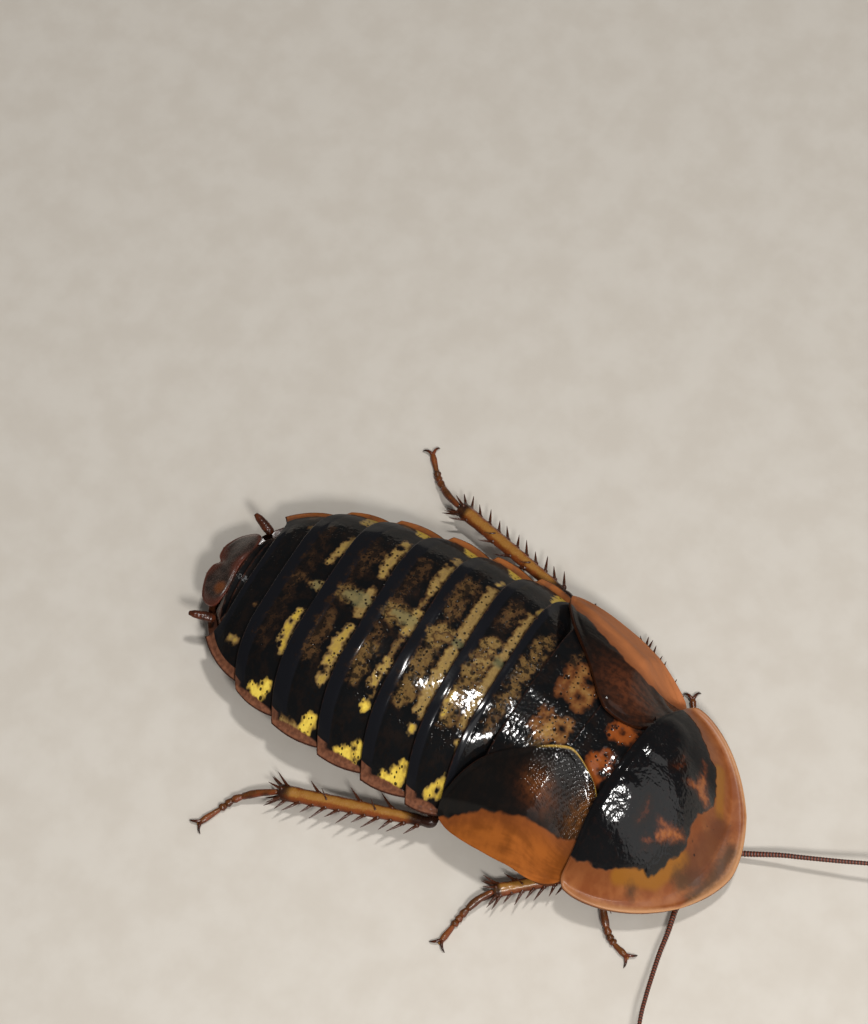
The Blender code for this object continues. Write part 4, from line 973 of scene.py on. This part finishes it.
def makeNotum():
    share = crossShares(notum["columns"])
    for number, (front, edge, rise) in enumerate(notum["plates"]):
        s, y = np.meshgrid(share, plateRows(front, edge, notum["rowStep"]))
        half = mix(*notum["half"], ease((y + 11.0) / 6.0))
        x, planY = s * half, y - 0.3 * np.abs(s) ** 6
        along = (y - front) / (edge - front)
        over = mix(3.85 + 0.35 * ease((y + 6.15) / 3), ridgeZ(y) - 0.34 + rise * along ** 1.5,
                   fall(x / (halfWidth(y) * 0.98)) ** 1.15)
        z = mix(np.minimum(over, underShieldZ(x, y) - 0.04), over, ease((y + 9.4) / 1.6))
        covered = insideDepth(np.abs(x), planY, smoothLine(pads["outline"], 4, True))
        z = mix(z, np.minimum(z, padZ(np.sign(x), np.abs(x), planY) - pads["thick"] - 0.12),
                ease((covered + 0.25) / 0.35))
        z += 0.05 * bell(x, 0.5) * ease(along * 3) - 0.04 * bell(np.abs(x) - 3.2, 0.5) * ease(along * 2)
        fields = paintFields(x, planY, notum["paint"][number])
        piece = Piece(("mesonotum", "metanotum")[number])
        piece.plate(bend(x, planY, z), notum["thick"], 0.1, plan=planField(x, planY), band=-9, flange=0.03,
                    warm=notum["warm"][number], crisp=0.4, dull=0.6 * ease((x - 2.0) / 2.0), **fields)
        piece.finish(shellMaterial, "dark_shell", *(["thorax"] if number else []))


sternum = {"front": -10.8, "rear": -1.3, "rings": 30, "half": (6.2, 8.2), "side": 3.75, "low": 3.35}


def makeThoraxCore():
    rings = []
    for y in np.linspace(sternum["front"], sternum["rear"], sternum["rings"]):
        half = mix(*sternum["half"], ease((y + 11.0) / 6.0))
        ceiling = np.minimum(ridgeZ(y) - 1.2, 9)

        def top(s, y=y, half=half, ceiling=ceiling):
            back = mix(sternum["side"], ceiling, fall(s))
            return np.minimum(back, underShieldZ(s * half, min(y, -9.0)) - 0.5) if y < -8.4 else back

        def low(s, y=y):
            ribs = 0.1 * np.cos(s * 12) * fall(s) + 0.05 * math.sin(y * 3)
            return sternum["low"] - 0.12 * fall(s) - 0.12 * bell(s, 0.15) + ribs

        rings.append(sectionRing(y, half, top, low))
    loft("thoraxCore", rings).finish(bellyMaterial, "belly")


prothorax = {"y": (-13.1, -12.7, -12.1, -11.4), "half": (2.4, 3.2, 3.9, 3.9), "rings": 12,
             "neck": ((0, -11.6, 3.6), (0, -12.6, 3.0), (0, -13.3, 2.2), (0, -13.9, 1.9)),
             "neckHalf": (1.5, 0.9)}


def makeProthorax():
    rings = []
    for y in np.linspace(prothorax["y"][0], prothorax["y"][-1], prothorax["rings"]):
        half = np.interp(y, prothorax["y"], prothorax["half"])

        def top(s, y=y, half=half):
            return mix(3.6, humpZ(s * half, y) - 0.95, fall(s, 2.4, 0.8))

        rings.append(sectionRing(y, half, top, lambda s: 3.4 - 0.3 * fall(s), turn=bendHead))
    loft("prothoraxBody", rings).finish(skinMaterial, "belly", "prothorax")
    neck = smoothLine(headPoints(prothorax["neck"]), 6)
    folds = 1 + 0.05 * np.cos(np.linspace(0, 30, len(neck)))
    width = spanned(len(neck), (0, 1), prothorax["neckHalf"]) * folds
    Piece("neckSkin").tube(neck, ovals(width, 0.55), 20).finish(skinMaterial, "belly")


makeNotum()
makeThoraxCore()
makeProthorax()


def makePads():
    outline = smoothLine(pads["outline"], 10, True)
    for side, word in sides:
        x, y, edge = discGrid(outline, pads["middle"], pads["columns"], pads["rows"])
        flat = np.array(pads["costal"][word])
        costal = x - np.interp(y, flat[:, 1], flat[:, 0])
        vein = -strokeDepth(x, y, [v for p in pads["vein"] for v in (*p, 0.0)])
        z = padZ(side, x, y) + 0.22 * ease(1 - vein / 0.72)
        z += 0.05 * ease(1 - edge / 0.3) - 0.05 * bell(edge - 0.45, 0.15)
        rootX, rootY = pads["root"]
        fan = np.hypot(x - rootX, y - rootY)  # lengthwise lines fan out from the pad's root
        turn = np.arctan2(x - rootX, y - rootY) * 9.0
        z += 0.012 * np.sin(turn * 5.5) * ease(edge / 0.6) * ease((y + 9.5) / 1.5)
        if side > 0:
            wine, rust, golden = bell(x - 4.2, 1.7) * bell(y + 7.0, 2.6), 0, 0
            # painted reflection on the left pad, weaker towards its rear
            netted, sheen, dull = 0.15, 0.6 - 0.3 * ease((y + 2.5) / 2.0), 0.65
        else:
            wine = bell(x - 5.4, 0.9) * bell(y + 6.2, 1.3)
            rust = bell(x - 4.4, 1.5) * bell(y + 9.2, 0.8) + 0.5 * bell(x - 5.0, 0.8) * bell(y + 6.0, 0.9)
            golden = ease((-4.4 - y) / 1.0) * ease((4.2 - x) / 1.0)
            netted, sheen = ease((6.4 - x) / 1.2) * ease((-4.0 - y) / 1.4), 0
            dull = 0.7 * ease((x - 5.6) / 1.4)
        piece = Piece("wingPad" + word.title())
        piece.plate(bend(side * x, y, z), pads["thick"], 0.1, plan=planField(side * x, y), outer=costal,
                    wine=wine, rust=rust, netted=netted, sheen=sheen, dull=dull, golden=golden,
                    vein=planField(fan, turn * 0.35))
        piece.finish(padMaterial, "wing_pad", "tegmen_" + word)


makePads()
print("thorax done")

shield = {
    "corners": ((8.18, -10.35), (7.7, -9.9), (6.5, -9.82), (4.2, -9.55)), "half": 8.25, "widest": -10.9,
    "power": 1.66, "middle": (0.0, -13.2), "thick": 0.42, "columns": 190, "rows": 130,
    "disc": ((6.85, -9.0), (6.85, -10.0), (6.7, -11.0), (6.45, -11.6), (6.0, -12.2), (5.5, -12.9),
             (5.1, -13.4), (5.0, -14.0), (4.6, -14.3), (3.9, -14.7), (3.3, -15.1), (2.6, -15.35),
             (1.9, -15.3), (1.0, -15.1), (0.0, -15.15), (-0.6, -15.4), (-1.3, -15.6), (-1.9, -15.5),
             (-2.6, -15.2), (-3.3, -15.1), (-3.9, -14.9), (-4.35, -14.6), (-4.2, -14.2),
             (-4.6, -13.6), (-5.2, -13.0), (-5.8, -12.3), (-6.1, -11.7), (-6.3, -11.0), (-6.6, -10.4),
             (-6.7, -9.0)),
    "marks": ((0.5, 2.1, -14.9, 0.36, 2.4, -14.3, 0.5, 3.2, -14.0, 0.3),
              (0.44, 2.3, -14.2, 0.4, 1.9, -13.6, 0.26), (0.24, 3.5, -13.9, 0.3, 4.1, -13.5, 0.4),
              (0.14, 1.6, -12.2, 0.26, 2.2, -12.7, 0.4, 3.0, -12.4, 0.32),
              (0.52, -1.0, -15.0, 0.3, -1.5, -14.4, 0.42, -2.2, -14.0, 0.36),
              (0.4, -1.4, -14.2, 0.3, -1.6, -13.6, 0.3), (0.26, -2.7, -13.9, 0.2, -3.1, -13.5, 0.36),
              (0.14, -1.2, -12.3, 0.26, -1.9, -12.6, 0.4, -2.7, -12.5, 0.3)),
    # painted shade where the head and parts below darken the thin front of the shield
    "smudge": ((0, 1.4, -17.8, 0.6, -1.0, -17.9, 0.6, -3.0, -17.6, 0.6),
               (0, -1.8, -17.0, 0.7, -2.6, -16.3, 0.7), (0, -5.5, -14.2, 0.4)),
    "plum": ((0, 2.2, -16.4, 0.7, -1.2, -16.6, 0.9),),
    "gold": ((0, -1.5, -15.9, 0.3, -4.0, -15.0, 0.45, -5.6, -13.0, 0.35),
             (0, 2.6, -15.9, 0.25, 5.2, -14.2, 0.3)),
    "flatCentre": (3.0, -10.9), "flatReach": 1.6, "flatShare": 0.62, "flatCurve": (0.243, -0.068, 0.197),
    "hollows": ((2.15, -12.4), (-2.0, -12.3)),
}


def shieldOutline(count):
    angle = np.linspace(0, math.pi, count + 1)
    cosine, sine = np.cos(angle), np.abs(np.sin(angle))
    x = shield["half"] * np.copysign(np.abs(cosine) ** (2 / shield["power"]), cosine)
    y = shield["widest"] + (body["shieldFront"] - shield["widest"]) * sine ** (2 / shield["power"])
    corners = shield["corners"]
    rear = smoothLine([(-shield["half"], shield["widest"]), *((-a, b) for a, b in corners),
                       (0.0, body["shieldRear"]), *corners[::-1], (shield["half"], shield["widest"])],
                      8)[1:-1]
    return np.concatenate([np.stack([x, y], 1), rear])


def makeShield():
    x, y, edge = discGrid(shieldOutline(160), shield["middle"], shield["columns"], shield["rows"], 0.55)
    disc = insideDepth(x, y, shield["disc"])
    z = humpZ(x, y) + 0.06 * bell(edge - 0.2, 0.18)
    z -= 0.28 * ease((y + 10.25) / 0.8)
    ax, ay = np.abs(x) - shield["flatCentre"][0], y - shield["flatCentre"][1]
    curve = shield["flatCurve"]  # a flatter place on either side, for the light to show in
    flatter = curve[0] * ax * ax + curve[1] * ax * ay + curve[2] * ay * ay
    z += ease(1.45 - np.hypot(ax, ay * 1.3) / shield["flatReach"]) * shield["flatShare"] * flatter
    z += 0.05 * ease((disc + 0.1) / 0.35) - 0.03 * bell(disc, 0.15)
    for cx, cy in shield["hollows"]:
        hollow = np.hypot(x - cx, y - cy)
        z += 0.015 * bell(hollow - 0.75, 0.3) - 0.05 * bell(hollow, 0.6)
    z -= 0.02 * bell(x, 0.3) * bell(y + 12.5, 1.8)
    z += 0.02 * np.sin(x * 2.1) * np.sin(y * 2.7) * ease(edge / 1.5)
    paint, tone = paintDepth(x, y, shield["marks"])
    smudge, plum, gold = (paintDepth(x, y, shield[key])[0] for key in ("smudge", "plum", "gold"))
    creamy = mix(0.45, 1.0, ease((-11.5 - y) / 3.0))
    piece = Piece("shieldPlate")
    piece.plate(bendHead(x, y, z), shield["thick"], 0.2, plan=planField(x, y), disc=disc, paint=paint,
                tone=tone, smudge=smudge, plum=plum, gold=ease((gold + 0.25) / 0.4), creamy=creamy,
                dull=0.85 * ease((np.abs(x + 0.8) - 3.0) / 1.6))
    piece.finish(shieldMaterial, "dark_shell", "pronotum")


makeShield()
print("shield done")

# Head, tucked face down under the shield

face = {
    "rings": ((-16.75, 0.9, 1.75, 1.15), (-16.3, 1.7, 2.0, 0.95), (-15.5, 2.15, 2.6, 0.8),
              (-14.6, 2.1, 3.0, 0.72), (-13.8, 1.75, 2.9, 0.68), (-13.3, 1.3, 2.5, 0.7)),
    "eye": ((2.45, -15.95, 1.5), (2.6, -15.4, 1.7), (2.6, -14.8, 1.8), (2.4, -14.25, 1.75)),
    "palp": ((1.0, -13.0, 0.62), (1.75, -13.1, 0.45), (2.3, -13.9, 0.4), (2.55, -14.9, 0.42),
             (2.5, -15.7, 0.45)),
    "innerPalp": ((0.5, -13.1, 0.6), (0.8, -12.8, 0.45), (1.1, -13.2, 0.35), (1.2, -13.8, 0.33)),
    "jaw": ((1.25, -14.0, 0.75), (0.9, -13.5, 0.62), (0.15, -13.2, 0.66)),
    "lip": ((0, -14.2, 0.72), (0, -13.7, 0.6), (0, -13.25, 0.62)),
}


def makeHead():
    rings = []
    for y, half, high, deep in smoothLine(face["rings"], 7):
        middle = (high + deep) / 2

        def top(s, middle=middle, high=high):
            return mix(middle, high, fall(s, 2.2, 0.6))

        def low(s, middle=middle, deep=deep, y=y):
            seams = 0.05 * bell(s, 0.08) * ease((y + 15.2) / 0.6)
            seams += 0.05 * bell(y + 14.1 + 0.25 * s * s, 0.09)
            return mix(middle - 0.05, deep, fall(s, 2.4, 0.6)) + seams

        rings.append(sectionRing(y, half, top, low, 64, bendHead))
    head = loft("headCapsule", rings)
    for side in (1, -1):
        jaw = smoothLine(headPoints(face["jaw"], side), 6)
        head.tube(jaw, ovals(np.linspace(0.34, 0.12, len(jaw)), 0.7), 12)
    lip = smoothLine(headPoints(face["lip"]), 6)
    head.tube(lip, ovals(spanned(len(lip), (0, 0.5, 1), (0.7, 0.72, 0.4)), 0.16), 18)
    head.finish(faceMaterial, "dark_shell", "head")
    for side, word in sides:
        line = smoothLine(headPoints(face["eye"], side), 8)
        share = np.linspace(0, 1, len(line))
        size = np.sqrt(np.maximum(0.02, 1 - (2 * share - 1) ** 2))[:, None] * np.array((0.3, 0.62))

        def notch(t, a, side=side):
            return 1 - 0.12 * np.maximum(0, -side * np.cos(a)) * bell(t - 0.5, 0.3)

        eye = Piece("eye" + word.title())
        eye.tube(line, size, 26, shape=notch)
        eye.finish(eyeMaterial, "eye", "eye_" + word)
        palp = Piece("palp" + word.title())
        points = headPoints(face["palp"], side)
        for k, (a, b) in enumerate(zip(points, points[1:])):
            line = np.array([a + (b - a) * t for t in np.linspace(0.04, 0.97, 12)])
            swell = spanned(12, (0, 0.15, 0.7, 1), (0.6, 0.75, 1.0, 0.75)) * (0.2 + 0.02 * k)
            palp.tube(line, ovals(swell), 12, dusky=0.2, stripe=0.4)
        palp.finish(legMaterial, "leg_amber", "palp_" + word)
        line = smoothLine(headPoints(face["innerPalp"], side), 6)
        palp = Piece("innerPalp" + word.title())
        palp.tube(line, np.full((len(line), 2), 0.13), 10, dusky=0.2, stripe=0.4)
        palp.finish(legMaterial, "leg_amber")


feelers = {
    "left": ((-1.35, -17.1, 0.9), (-0.85, -18.5, 0.9), (0.0, -20.67, 1.38), (0.45, -22.0, 1.6),
             (1.3, -24.39, 1.93), (1.94, -26.11, 2.2), (3.4, -29.7, 2.4), (5.3, -33.1, 2.3),
             (7.4, -36.1, 1.9)),
    "right": ((-4.75, -16.75, 0.9), (-6.6, -16.2, 0.95), (-8.46, -16.51, 1.16), (-10.07, -16.7, 1.42),
              (-11.9, -17.02, 1.68), (-13.41, -17.32, 1.94), (-15.15, -17.75, 2.2), (-18.5, -18.9, 2.35),
              (-21.8, -20.4, 2.2), (-24.6, -22.2, 1.8)),
    "thick": 0.18, "tip": 0.1, "ring": feelerLook["spacing"], "scape": (0.24, 0.3, 0.36, 0.22),
}


def makeFeelers():
    for _, word in sides:
        route = np.array(feelers[word])
        root, bendPoint = route[0], route[1]
        scape = np.array([root + (bendPoint - root) * t for t in np.linspace(-0.15, 0.62, 14)])
        width = spanned(14, (0, 0.2, 0.6, 1), feelers["scape"])
        piece = Piece("scape" + word.title())
        piece.tube(scape, ovals(width), 18, dusky=0.35, stripe=0.3)
        piece.finish(legMaterial, "feeler", "antenna_base_" + word)
        line = smoothLine([root + (bendPoint - root) * 0.66, bendPoint, *route[2:]], 90)
        steps = np.concatenate([[0], np.cumsum(np.linalg.norm(np.diff(line, axis=0), axis=1))])
        places = np.arange(0, steps[-1], feelers["ring"] / 5)
        points = np.stack([np.interp(places, steps, line[:, k]) for k in range(3)], 1)
        taper = np.interp(places, (0, 0.5, 3, places[-1]), (0.2, 0.22, feelers["thick"], feelers["tip"]))
        width = taper * (1 - 0.13 * np.abs(np.cos(places * math.pi / feelers["ring"])) ** 3)
        piece = Piece("feeler" + word.title()).tube(points, ovals(width), 10)
        piece.finish(feelerMaterial, "feeler", "antenna_" + word)


makeHead()
makeFeelers()
print("head done")

# Legs

legs = {
    "hips": {"hind": ((3.3, -2.7, 2.3), (1.9, 2.7, 2.15)), "mid": ((1.95, -8.6, 2.3), (1.45, -5.0, 2.15)),
             "front": ((2.15, -12.75, 2.2), (1.0, -10.4, 2.1))},
    "size": {"hind": 1.0, "mid": 0.88, "front": 0.74},
    # spines of the shin, along its outer and inner side
    "outer": {"hind": 11, "mid": 8, "front": 5}, "inner": {"hind": 4, "mid": 4, "front": 3},
    "parts": {  # half width and half height, and how they change from root to end
        "coxa": ((1.25, 0.72), ((0, 0.6), (0.25, 0.95), (0.55, 1), (0.85, 0.7), (1, 0.42))),
        "femur": ((0.85, 0.55), ((0, 0.42), (0.18, 0.82), (0.42, 1), (0.7, 0.85), (0.92, 0.62), (1, 0.48))),
        "tibia": ((0.55, 0.42), ((0, 0.62), (0.1, 0.8), (0.5, 0.95), (0.85, 1), (0.94, 1.12), (1, 1.0))),
    },
    "lines": {
        ("hind", "right"): ((-9.6, 0.7, 2.3), (-12.35, 11.2, 1.45),
                            (-13.0, 12.5, 0.95), (-13.9, 13.65, 0.55), (-14.75, 14.2, 0.2),
                            (-16.4, 14.95, 0.2)),
        ("hind", "left"): ((9.95, 0.5, 2.3), (13.2, 11.1, 1.45),
                           (13.9, 12.4, 0.95), (14.75, 13.5, 0.55), (15.5, 14.2, 0.2), (16.8, 15.3, 0.2)),
        ("mid", "right"): ((-7.55, -9.9, 1.6), (-11.55, -4.95, 1.15),
                           (-12.45, -4.35, 0.8), (-13.55, -3.95, 0.55), (-14.3, -3.75, 0.2),
                           (-15.95, -3.5, 0.2)),
        ("mid", "left"): ((5.65, -10.1, 1.6), (9.6, -5.25, 1.1),
                          (10.15, -4.4, 0.75), (10.5, -3.4, 0.52), (10.7, -2.7, 0.2), (10.95, -1.2, 0.2)),
        ("front", "right"): ((-6.0, -11.4, 2.0), (-8.75, -11.75, 1.2),
                             (-9.25, -12.15, 0.85), (-10.05, -12.85, 0.5), (-10.55, -13.6, 0.2),
                             (-10.95, -14.7, 0.2)),
        ("front", "left"): ((3.4, -12.6, 2.0), (5.8, -11.7, 1.2),
                            (6.3, -11.35, 0.8), (6.85, -11.0, 0.45), (7.25, -10.75, 0.2),
                            (8.15, -10.2, 0.2)),
    },
}


def unit(vector):
    return vector / max(1e-9, np.linalg.norm(vector))


def addSpine(piece, at, towards, length, thick=0.1, curve=0.12):
    towards = unit(np.array(towards, float))
    bow = above(1) - towards * towards[2]
    points = [at + towards * length * t + bow * curve * length * (t * t - t)
              for t in (-0.12, 0.0, 0.06, 0.12, 0.35, 0.6, 0.82, 1.0)]
    radii = thick * np.array((1.3, 1.45, 1.4, 0.95, 0.8, 0.58, 0.34, 0.1))
    piece.tube(points, ovals(radii), 8, spine=1.0, dusky=1.0)


def limb(part, name, a, b, size, sides, rings, shape=None, **values):
    half, stations = legs["parts"][part]
    shares, widths = zip(*stations)
    t = np.linspace(0, 1, rings)
    wide = np.interp(t, shares, widths)
    wide = np.convolve(np.pad(wide, 2, mode="edge"), np.ones(5) / 5, "valid")
    halves = np.stack([half[0] * size * wide, half[1] * size * (0.3 + 0.7 * wide)], 1)
    points = a + (b - a) * t[:, None]
    return Piece(part + name).tube(points, halves, sides, shape=shape, **values)


def coxaShape(t, a):
    return 1 + 0.05 * bell(np.cos(a) - 0.75, 0.2) - 0.04 * bell(np.sin(a) + 0.6, 0.3)


def femurShape(t, a):
    return 1 - 0.14 * bell(np.sin(a) + 1, 0.35) * ease(t * 4) * ease((1 - t) * 5)


def tibiaShape(t, a):
    grooves = 0.07 * bell(np.sin(a) - 0.55, 0.22) + 0.05 * bell(np.sin(a) + 0.5, 0.2)
    return 1 - grooves + 0.02 * np.sin(t * 70 + np.cos(a) * 3)


def makeLeg(pair, word):
    side, size = (1 if word == "left" else -1), legs["size"][pair]
    name, cad = pair.title() + word.title(), f"{pair}_{word}"
    line = np.array(legs["lines"][pair, word])
    knee, ankle = line[0], line[1]
    hipRoot, hipTip = (bentPoint((side * p[0], p[1], p[2])) for p in legs["hips"][pair])
    coxa = limb("coxa", name, hipRoot, hipTip, size, 28, 26, coxaShape)
    coxa.finish(bellyMaterial, "belly", "coxa_" + cad)
    outward = unit(np.cross(hipTip - hipRoot, (0, 0, side)))
    femurRoot = hipTip + outward * (1.25 * size * 0.42 + 0.72)
    femurRoot[2] = 1.5
    thigh = unit(knee - femurRoot)
    femurEnd = knee - thigh * 0.5
    trochanter = smoothLine([hipTip + (hipRoot - hipTip) * 0.05, hipTip + outward * 0.35,
                             femurRoot + thigh * 0.15, femurRoot + thigh * 0.8], 6)
    radii = spanned(len(trochanter), (0, 0.4, 0.75, 1), (0.42, 0.4, 0.44, 0.3)) * size
    piece = Piece("trochanter" + name).tube(trochanter, ovals(radii, 0.9), 16, dusky=0.25)
    piece.finish(legMaterial, "leg_amber")
    femur = limb("femur", name, femurRoot, femurEnd, size, 24, 40, femurShape, stripe=0.5, dusky=0.0)
    edge = unit(np.cross(thigh, (0, 0, side)))
    for k, share in enumerate(np.linspace(0.36, 0.86, 6)):
        reach = 0.85 * size * 0.86 * np.interp(share, (0.3, 0.5, 0.9), (1, 0.95, 0.7))
        at = mix(femurRoot, femurEnd, share) + edge * reach - above(0.15)
        addSpine(femur, at, edge + thigh * 0.7 - above(0.25), (0.7 + 0.22 * (k % 2)) * size, 0.075)
    addSpine(femur, femurEnd + above(0.3 * size), thigh + above(0.5), 0.4 * size, 0.07)
    femur.finish(legMaterial, "leg_amber", "femur_" + cad)

    shin = unit(ankle - knee)
    tibiaRoot, tibiaEnd = knee + shin * 0.35, ankle - shin * 0.15
    kneeLine = smoothLine([knee - thigh * 0.75, knee - thigh * 0.2, knee + shin * 0.25, knee + shin * 0.75],
                          6)
    radii = spanned(len(kneeLine), (0, 0.45, 0.7, 1), (0.3, 0.43, 0.4, 0.34)) * size
    Piece("knee" + name).tube(kneeLine, ovals(radii), 16, dusky=1.0).finish(legMaterial, "leg_amber")
    t = np.concatenate([[0], np.linspace(0, 1, 60), [1]])[:, None]
    dusky = 0.75 * ease((0.2 - t) / 0.12) + 0.7 * ease((t - 0.88) / 0.08)
    tibia = limb("tibia", name, tibiaRoot, tibiaEnd, size, 22, 60, tibiaShape, stripe=1.0, dusky=dusky)
    across = unit(np.cross(shin, (0, 0, 1)))
    outer, inner = legs["outer"][pair], legs["inner"][pair]
    for k in range(outer):
        share = 0.06 + 0.88 * k / (outer - 1)
        at = mix(tibiaRoot, tibiaEnd, share) + across * side * 0.5 * size * 0.86
        towards = across * side + shin * (0.95 + 0.2 * math.sin(k * 2.3)) + above(0.12 * math.sin(k * 1.7))
        addSpine(tibia, at, towards, (1.2 + 0.16 * math.sin(k * 3.1 + side)) * size, 0.13)
    for k in range(inner):
        share = 0.3 + 0.62 * (k + 0.3 * math.sin(k * 5 + side)) / max(1, inner - 1)
        at = mix(tibiaRoot, tibiaEnd, min(0.95, share)) - across * side * 0.5 * size * 0.84 + above(0.08)
        length = (1.2 + 0.15 * math.sin(k * 2 + 1)) * size
        addSpine(tibia, at, -across * side + shin * 1.1 + above(0.25), length, 0.12)
    for share in (0.35, 0.68):  # two small ones on top
        at = mix(tibiaRoot, tibiaEnd, share) + above(0.38 * size)
        addSpine(tibia, at, shin * 0.8 - across * side + above(0.5), 0.8 * size, 0.06)
    for k, (turn, lift) in enumerate(((1, 0.1), (1, -0.35), (-1, 0.1), (-1, -0.35), (0.3, 0.6),
                                      (-0.35, -0.7))):
        at = tibiaEnd - shin * 0.12 + across * turn * 0.4 * size + above(lift * 0.5 * size)
        length = (1.0 + 0.2 * (k % 2)) * size
        addSpine(tibia, at, across * turn * 0.75 + shin + above(0.3 * lift), length, 0.12)
    tibia.finish(legMaterial, "leg_amber", "tibia_" + cad)
    makeFoot(name, cad, tibiaEnd, line[2:], across)


def makeFoot(name, cad, tibiaEnd, foot, across):
    # Five toe lengths with soft lobes below, and two claws round a small pad
    foot = smoothLine([tibiaEnd, *foot], 30)
    steps = np.concatenate([[0], np.cumsum(np.linalg.norm(np.diff(foot, axis=0), axis=1))])
    total = steps[-1]
    shares = (0.02, 0.44, 0.56, 0.65, 0.73, 1.0)
    piece = Piece("tarsus" + name)
    for k, (a, b) in enumerate(zip(shares, shares[1:])):
        places = np.linspace(a * total, b * total - 0.03, 16 if k in (0, 4) else 9)
        points = np.stack([np.interp(places, steps, foot[:, axis]) for axis in range(3)], 1)
        t = np.linspace(0, 1, len(places))
        width = np.interp(t, (0, 0.15, 0.75, 1), (0.62, 0.75, 1.0, 0.8)) * (0.29 if k < 4 else 0.24)
        points[:, 2] = np.maximum(points[:, 2], width * 0.9)
        piece.tube(points, ovals(width, 0.9), 14, floor=True, dusky=0.42 if k < 4 else 0.05, stripe=0.2)
        if k < 4:
            lobe = points[-3:] - above(0.1)
            piece.tube(lobe, np.array(((0.1, 0.09), (0.15, 0.13), (0.08, 0.07))), 10, floor=True, dusky=0.0,
                       stripe=1.0)
            for turn in (1, -1):
                towards = across * turn * 0.6 + unit(points[-1] - points[0])
                addSpine(piece, points[-2] + across * turn * 0.14, towards, 0.3, 0.035)
    end, toe = foot[-1], unit(foot[-1] - foot[-8])
    spread = unit(np.cross(toe, (0, 0, 1)))
    pad = np.array([end - toe * 0.05, end + toe * 0.14, end + toe * 0.26])
    pad[:, 2] = (0.16, 0.13, 0.12)
    piece.tube(pad, np.array(((0.1, 0.08), (0.16, 0.1), (0.08, 0.06))), 12, floor=True, dusky=0.3,
               stripe=1.0)
    for turn in (1, -1):
        claw = smoothLine([end - toe * 0.1 + above(0.03),
                           end + toe * 0.22 + spread * turn * 0.2 + above(0.08),
                           end + toe * 0.42 + spread * turn * 0.44 + above(0.02),
                           end + toe * 0.48 + spread * turn * 0.66 - above(0.15)], 6)
        radii = spanned(len(claw), (0, 0.35, 0.8, 1), (0.13, 0.11, 0.06, 0.015))
        piece.tube(claw, ovals(radii), 10, floor=True, dusky=np.linspace(0.1, 1, len(claw) + 2)[:, None])
    piece.finish(legMaterial, "leg_amber", "tarsus_" + cad)


for pair in ("hind", "mid", "front"):
    for word in ("left", "right"):
        makeLeg(pair, word)
print("legs done")

# Floor, light and camera

stage = {
    "floor": "#cfc9c0", "floorShade": "#c9c2b8", "target": (16.16605, 19.24458, 0.0),
    "back": (-0.4373, -0.2424, 0.8660), "distance": 200.0, "lens": 97.03, "world": 0.1,
    "lights": {  # what it looks at, the direction towards it, and its distance, width and power
        "key": ((1.0, 7.0, 6.0), (0.145, -0.075, 0.987), 500.0, 52.0, 1.0),
        "fill": ((0.0, 6.0, 4.0), (-0.2, -0.85, 0.5), 600.0, 900.0, 1.9),
        "glint": ((-1.3, -3.9, 6.5), (-0.475, -0.35, 0.8), 150.0, 24.0, 0.135),
    },
}


def makeStage():
    kit = Kit("paleFloor")
    grain = kit.noise(kit.place(), 300, 3)
    colour = kit.blend(kit.step(grain, 0.3, 0.7), tint(stage["floor"]), tint(stage["floorShade"]))
    kit.finish(colour, 0.7)
    bm = bmesh.new()
    bmesh.ops.create_grid(bm, x_segments=8, y_segments=8, size=1.5)
    mesh = bpy.data.meshes.new("floor")
    bm.to_mesh(mesh)
    bm.free()
    mesh.materials.append(kit.material)
    floor = bpy.data.objects.new("floor", mesh)
    floor.location.z = -0.00002
    bpy.context.scene.collection.objects.link(floor)

    world = bpy.data.worlds.new("studio")
    world.use_nodes = True
    world.node_tree.nodes["Background"].inputs[0].default_value = (1.0, 0.98, 0.95, 1)
    world.node_tree.nodes["Background"].inputs[1].default_value = stage["world"]
    bpy.context.scene.world = world

    for name, (centre, towards, away, wide, power) in stage["lights"].items():
        towards = Vector(towards).normalized()
        light = bpy.data.lights.new(name, "AREA")
        light.shape, light.size, light.energy = "DISK", wide * 0.001, power
        light.color = (1.0, 0.98, 0.95)
        lamp = bpy.data.objects.new(name, light)
        lamp.location = (Vector(centre) + towards * away) * 0.001
        lamp.rotation_euler = towards.to_track_quat("Z", "Y").to_euler()
        lamp.visible_camera = False
        bpy.context.scene.collection.objects.link(lamp)

    camera = bpy.data.cameras.new("camera")
    camera.sensor_fit, camera.sensor_height, camera.lens = "VERTICAL", 36.0, stage["lens"]
    camera.clip_start = 0.01
    holder = bpy.data.objects.new("camera", camera)
    back = Vector(stage["back"]).normalized()
    holder.location = (Vector(stage["target"]) + back * stage["distance"]) * 0.001
    holder.rotation_euler = back.to_track_quat("Z", "Y").to_euler()
    bpy.context.scene.collection.objects.link(holder)
    bpy.context.scene.camera = holder
    bpy.context.scene.view_settings.view_transform = "Standard"


makeStage()
print("stage done")
